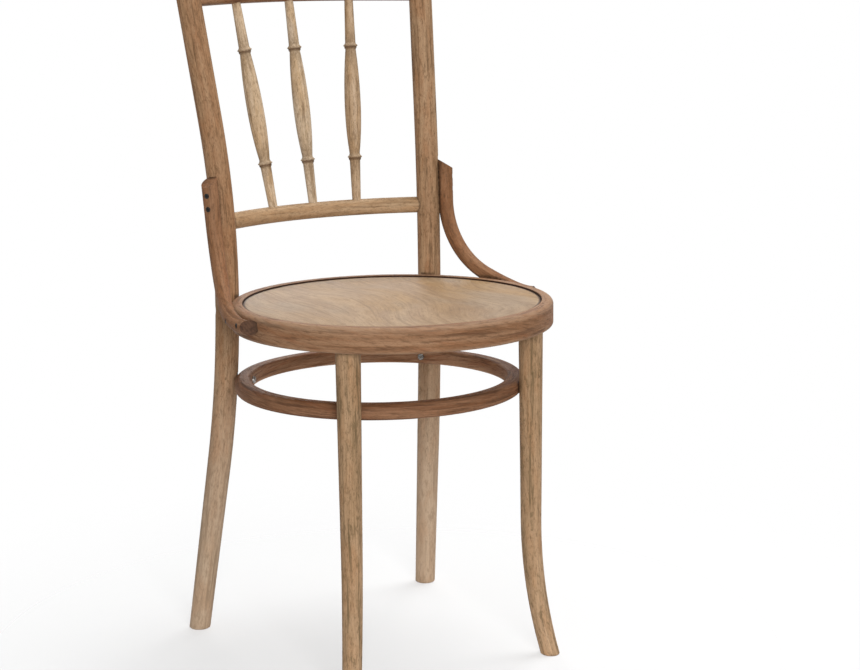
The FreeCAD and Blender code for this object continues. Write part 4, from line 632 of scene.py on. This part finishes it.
def spindle_line(step):
    """A spindle's foot on the lower rail and the way it leans, both read off the two bowed rails."""
    foot_x, top_x = step * FOOT_SPACING, step * TOP_SPACING
    foot_y = RAIL_CURVE_MIDDLE_Y + math.sqrt(RAIL_CURVE ** 2 - foot_x ** 2)
    back = CREST_BOW - CREST_CURVE + math.sqrt(CREST_CURVE ** 2 - top_x ** 2)
    top_y = CREST_Y + back * math.cos(CREST_LEAN) - TOP_BELOW_CREST * math.sin(CREST_LEAN)
    top_height = CREST_HEIGHT - TOP_BELOW_CREST * math.cos(CREST_LEAN) - back * math.sin(CREST_LEAN)
    foot = Vector((foot_x, foot_y, RAIL_HEIGHT))
    return foot, (Vector((top_x, top_y, top_height)) - foot).normalized()


for name, step, spindle_seed, shade in SPINDLES:
    wood, shader = bare_material(f"{name}_beech")
    tree = wood.node_tree
    foot, way = spindle_line(step)
    straight = place_group(wood, straight_run, Foot=foot, Way=way)
    figure = place_group(wood, beech, Run=straight["Run"], Seed=spindle_seed, Pale=SPINDLE_PALE,
                         Middle=SPINDLE_MIDDLE, Warm=SPINDLE_WARM, Dark=SPINDLE_DARK)
    colour = tint(tree, 1.0, figure["Color"], shade, "MULTIPLY")
    grime = grain_noise(tree, straight["Run"], 0.0022, 0.0040, 3.0, 0.7, 0.3, spindle_seed)
    for bead in BEAD_HEIGHTS:
        above = minus(tree, straight["Up"], bead)
        # A painted highlight on the bead's lip and the cove above it.
        lip = times(tree, between(tree, above, -0.0008, -0.0002), between(tree, above, 0.0060, 0.0012))
        colour = tint(tree, times(tree, lip, 0.40), colour, SPINDLE_PALE)
        # Hands never reach the turning beside a bead, so it stays grimy there.
        beside = times(tree, between(tree, reckon(tree, "ABSOLUTE", above), 0.034, 0.004),
                       between(tree, grime, 0.40, 0.60, 0.15, 0.62))
        colour = tint(tree, beside, colour, BEAD_GRIME)
        # Painted shade in the undercut below the lip.
        under = times(tree, between(tree, above, -0.0060, -0.0018),
                      between(tree, above, -0.0006, -0.0012))
        colour = tint(tree, times(tree, under, 0.80), colour, UNDERCUT_PAINTED_SHADE)
    finish_surface(wood, shader, colour, figure, 0.00016)
    wear(name, wood)


# Arms.
# Short beech rods, steamed to sweep from the post's side down round the seat ring and cut off
# slantwise at both ends. The cuts took up stain, so the end grain is the darkest wood on the chair.
ARM_BEND_ROUND, ARM_BEND_DOWN = 0.145, 0.113  # how far the bend goes round the seat and down the post
ARM_BEND_TOP = 0.100  # above the seat
ARM_HOOP_RADIUS = 0.2125
ARM_STANDS_OUT = 0.0165  # how much further out the arm is at the post than at the ring
ARM_END_TURN = math.radians(42.0)
ARM_END_ANGLE = math.radians(-3.7)
ARM_PALE = (0.320, 0.168, 0.088, 1.0)
ARM_MIDDLE = (0.240, 0.110, 0.049, 1.0)
ARM_WARM = (0.254, 0.098, 0.039, 1.0)

# The arm's bend is taken as a quarter of an ellipse on the seat's side, laid out flat. The run is how
# far out, how far from the bend's middle, and how far along.
arm_run, given, made = new_group("arm_run", (("Side", "Float", 1.0),), (
    ("Run", "Vector"), ("Round", "Float")))
parts = split(arm_run, own_place(arm_run))
x = times(arm_run, parts[0], given["Side"])
y = minus(arm_run, parts[1], SEAT_AXIS_Y)
height = minus(arm_run, parts[2], SEAT_TOP)
stands_out = between(arm_run, height, 0.0, ARM_BEND_TOP, 0.0, ARM_STANDS_OUT)
out = minus(arm_run, span(arm_run, x, y), stands_out)
around = times(arm_run, reckon(arm_run, "ARCTAN2", y, x), ARM_HOOP_RADIUS)
below = minus(arm_run, ARM_BEND_TOP, height)
share_round = reckon(arm_run, "MAXIMUM", reckon(arm_run, "DIVIDE", around, ARM_BEND_ROUND), 0.0)
share_down = reckon(arm_run, "MAXIMUM", reckon(arm_run, "DIVIDE", below, ARM_BEND_DOWN), 0.0)
across = times(arm_run, span(arm_run, share_round, share_down), ARM_BEND_DOWN)
bend_length = times(arm_run, reckon(arm_run, "ARCTAN2", share_round, share_down),
                    (ARM_BEND_ROUND + ARM_BEND_DOWN) / 2)
straight_up = minus(arm_run, reckon(arm_run, "MINIMUM", around, 0.0),
                    reckon(arm_run, "MINIMUM", below, 0.0))
arm_run.links.new(build(arm_run, out, across, plus(arm_run, bend_length, straight_up)), made["Run"])
arm_run.links.new(around, made["Round"])

for side_name, side in (("left", -1.0), ("right", 1.0)):
    wood, shader = bare_material(f"{side_name}_arm_beech")
    tree = wood.node_tree
    bent = place_group(wood, arm_run, Side=side)
    figure = place_group(wood, beech, Run=bent["Run"], Seed=75.0 + 3 * side, Pale=ARM_PALE,
                         Middle=ARM_MIDDLE, Warm=ARM_WARM, Dark=RING_DARK, Streaks=0.85)
    forward = Vector((math.sin(ARM_END_ANGLE), -math.cos(ARM_END_ANGLE), 0.0))
    cut_way = Vector((side * (forward.x * math.cos(ARM_END_TURN) - forward.y * math.sin(ARM_END_TURN)),
                      forward.x * math.sin(ARM_END_TURN) + forward.y * math.cos(ARM_END_TURN), 0.0))
    ends = place_group(wood, sawn, Color=figure["Color"], Run=bent["Run"], Way=cut_way, Sharp=0.95)
    # Only the cut at the front end is dark; the rest of the arm may face the same way.
    colour = tint(tree, between(tree, bent["Round"], 0.016, 0.012), figure["Color"], ends["Color"])
    # Dirt and painted shade beside the post and along the seat ring.
    colour = dirt_and_shade_in_corner(wood, colour, from_posts(wood, POST_RADIUS_AT_RAIL), 0.0065, 0.85)
    parts = split(tree, along(tree, "SUBTRACT", own_place(tree), (0.0, SEAT_AXIS_Y, 0.0)))
    beside_ring = minus(tree, span(tree, parts[0], parts[1]), SEAT_RADIUS)
    above_ring = reckon(tree, "MAXIMUM", minus(tree, parts[2], SEAT_TOP), 0.0)
    colour = dirt_and_shade_in_corner(wood, colour, plus(tree, beside_ring, above_ring), 0.0050, 0.85)
    finish_surface(wood, shader, colour, figure, GRAIN_RELIEF)
    wear(f"{side_name}_arm", wood)


# Screws and bolts.
# The arms' countersunk wood screws are blackened steel; the stretcher's dome screws and the bolts
# through the posts are zinc plated and have gone dull.
TARNISH_SPOT = 0.002

metal_age, given, made = new_group("metal_age", (
    ("Clean", "Color", (0.4, 0.4, 0.4, 1.0)), ("Tarnish", "Color", (0.2, 0.17, 0.14, 1.0))),
    (("Color", "Color"), ("Roughness", "Float"), ("Height", "Float")))
place = own_place(metal_age)
spots = grain_noise(metal_age, place, TARNISH_SPOT, TARNISH_SPOT, 4.0, 0.65, 0.3, 1.0)
scratches = grain_noise(metal_age, place, 0.0002, 0.0015, 2.0, 0.5, 0.0, 6.0)
aged_colour = tint(metal_age, between(metal_age, spots, 0.42, 0.62), given["Clean"], given["Tarnish"])
metal_age.links.new(aged_colour, made["Color"])
metal_age.links.new(plus(metal_age, 0.34, times(metal_age, spots, 0.35)), made["Roughness"])
metal_age.links.new(plus(metal_age, times(metal_age, spots, 0.6), times(metal_age, scratches, 0.3)),
                    made["Height"])

for finish, clean, tarnish, metallic, nodes in (
        ("blackened_steel", (0.030, 0.029, 0.028, 1.0), (0.016, 0.013, 0.011, 1.0), 0.70,
         ("arm_post_screws", "arm_seat_screws")),
        ("dull_zinc", (0.34, 0.335, 0.325, 1.0), (0.15, 0.135, 0.115, 1.0), 1.0,
         ("stretcher_screws", "seat_bolts", "seat_bolt_washers", "seat_bolt_nuts"))):
    steel, shader = bare_material(finish, 0.5)
    shader.inputs["Metallic"].default_value = metallic
    aged = place_group(steel, metal_age, Clean=clean, Tarnish=tarnish)
    finish_surface(steel, shader, aged["Color"], aged, 0.00006)
    for node_name in nodes:
        wear(node_name, steel)


# Floor and light.
# A plain white studio floor that fades into a white room, one broad soft lamp above, a weak one
# behind the chair and a wide one beside the camera, and an even light from the room around them.
FLOOR_REACH = 4.0
FLOOR_GONE, FLOOR_WHOLE = 0.86, 0.26  # how far from the chair's middle
THINNED_FOR_EYE = 0.55
ROOM_LIGHT = 0.36

floor_mesh = bpy.data.meshes.new("studio_floor")
corners = ((-1, -1), (1, -1), (1, 1), (-1, 1))
floor_mesh.from_pydata([(FLOOR_REACH * x, FLOOR_REACH * y, 0) for x, y in corners], [], [(0, 1, 2, 3)])
floor = bpy.data.objects.new("studio_floor", floor_mesh)
bpy.context.scene.collection.objects.link(floor)
paper, shader = bare_material("white_floor", 0.0)
shader.inputs["Base Color"].default_value = (0.90, 0.90, 0.905, 1.0)
shader.inputs["Roughness"].default_value = 0.9
tree = paper.node_tree
from_middle = along(tree, "LENGTH", own_place(tree))
# The eye sees only a soft trace of the floor, as on white paper; light bounces off all of it.
to_eye = tree.nodes.new("ShaderNodeLightPath").outputs["Is Camera Ray"]
thin = minus(tree, 1.0, times(tree, to_eye, THINNED_FOR_EYE))
fade = between(tree, from_middle, FLOOR_GONE, FLOOR_WHOLE)
join(tree, times(tree, fade, thin), shader.inputs["Alpha"])
floor_mesh.materials.append(paper)

room = bpy.data.worlds.new("studio_room")
room.use_nodes = True
bpy.context.scene.world = room
tree = room.node_tree
sky = tree.nodes["Background"]
sky.inputs["Color"].default_value = UNTINTED
rays = tree.nodes.new("ShaderNodeLightPath").outputs
seen = reckon(tree, "MAXIMUM", reckon(tree, "MAXIMUM", rays["Is Camera Ray"], rays["Is Glossy Ray"]),
              rays["Is Transmission Ray"])
join(tree, plus(tree, ROOM_LIGHT, times(tree, seen, 1.0 - ROOM_LIGHT)), sky.inputs["Strength"])


def soft_lamp(name, place, aim, width, level):
    """A square lamp that gives `level` of plain light where it is aimed."""
    lamp = bpy.data.lights.new(name, "AREA")
    lamp.shape = "SQUARE"
    lamp.size = width
    way = Vector(aim) - Vector(place)
    lamp.energy = level * math.pi ** 2 * way.length ** 2
    holder = bpy.data.objects.new(name, lamp)
    holder.location = place
    holder.rotation_euler = way.to_track_quat("-Z", "Y").to_euler()
    bpy.context.scene.collection.objects.link(holder)


soft_lamp("overhead_lamp", (1.2, 0.2, 3.0), (0.0, 0.0, 0.3), 1.5, 0.62)
soft_lamp("back_fill", (1.2, 3.2, 1.8), (0.0, 0.0, 0.5), 1.6, 0.20)
soft_lamp("camera_fill", (-1.3, -3.2, 1.5), (0.0, 0.0, 0.5), 1.5, 0.70)


# Camera.
# It stands in front of the chair and to its right hand, a little above the seat, as in the picture.
CAMERA_PLACE = Vector((-1.32558, -2.15762 + SEAT_AXIS_Y, 0.89815))
CAMERA_TURN, CAMERA_RISE, CAMERA_ROLL = math.radians(-31.437), math.radians(10.670), math.radians(-0.867)
FRAME_WIDTH = 860
FRAME_MIDDLE_X, FRAME_MIDDLE_Y = 430.0, 335.0
LENS_AXIS_X, LENS_AXIS_Y = 387.85, 331.37
FOCAL_PIXELS = 2018.4
back = Vector((math.sin(CAMERA_TURN) * math.cos(CAMERA_RISE),
               -math.cos(CAMERA_TURN) * math.cos(CAMERA_RISE), math.sin(CAMERA_RISE)))
right = Vector((math.cos(CAMERA_TURN), math.sin(CAMERA_TURN), 0.0))
up = back.cross(right)
across = right * math.cos(CAMERA_ROLL) + up * math.sin(CAMERA_ROLL)
upwards = up * math.cos(CAMERA_ROLL) - right * math.sin(CAMERA_ROLL)
lens = bpy.data.cameras.new("studio_camera")
lens.sensor_fit = "HORIZONTAL"
lens.lens = FOCAL_PIXELS * lens.sensor_width / FRAME_WIDTH
lens.shift_x = (FRAME_MIDDLE_X - LENS_AXIS_X) / FRAME_WIDTH
lens.shift_y = (LENS_AXIS_Y - FRAME_MIDDLE_Y) / FRAME_WIDTH
lens.clip_end = 200.0
camera = bpy.data.objects.new("studio_camera", lens)
camera.matrix_world = Matrix((across, upwards, back)).transposed().to_4x4()
camera.location = CAMERA_PLACE
bpy.context.scene.collection.objects.link(camera)
bpy.context.scene.camera = camera
bpy.context.scene.view_settings.view_transform = "Standard"
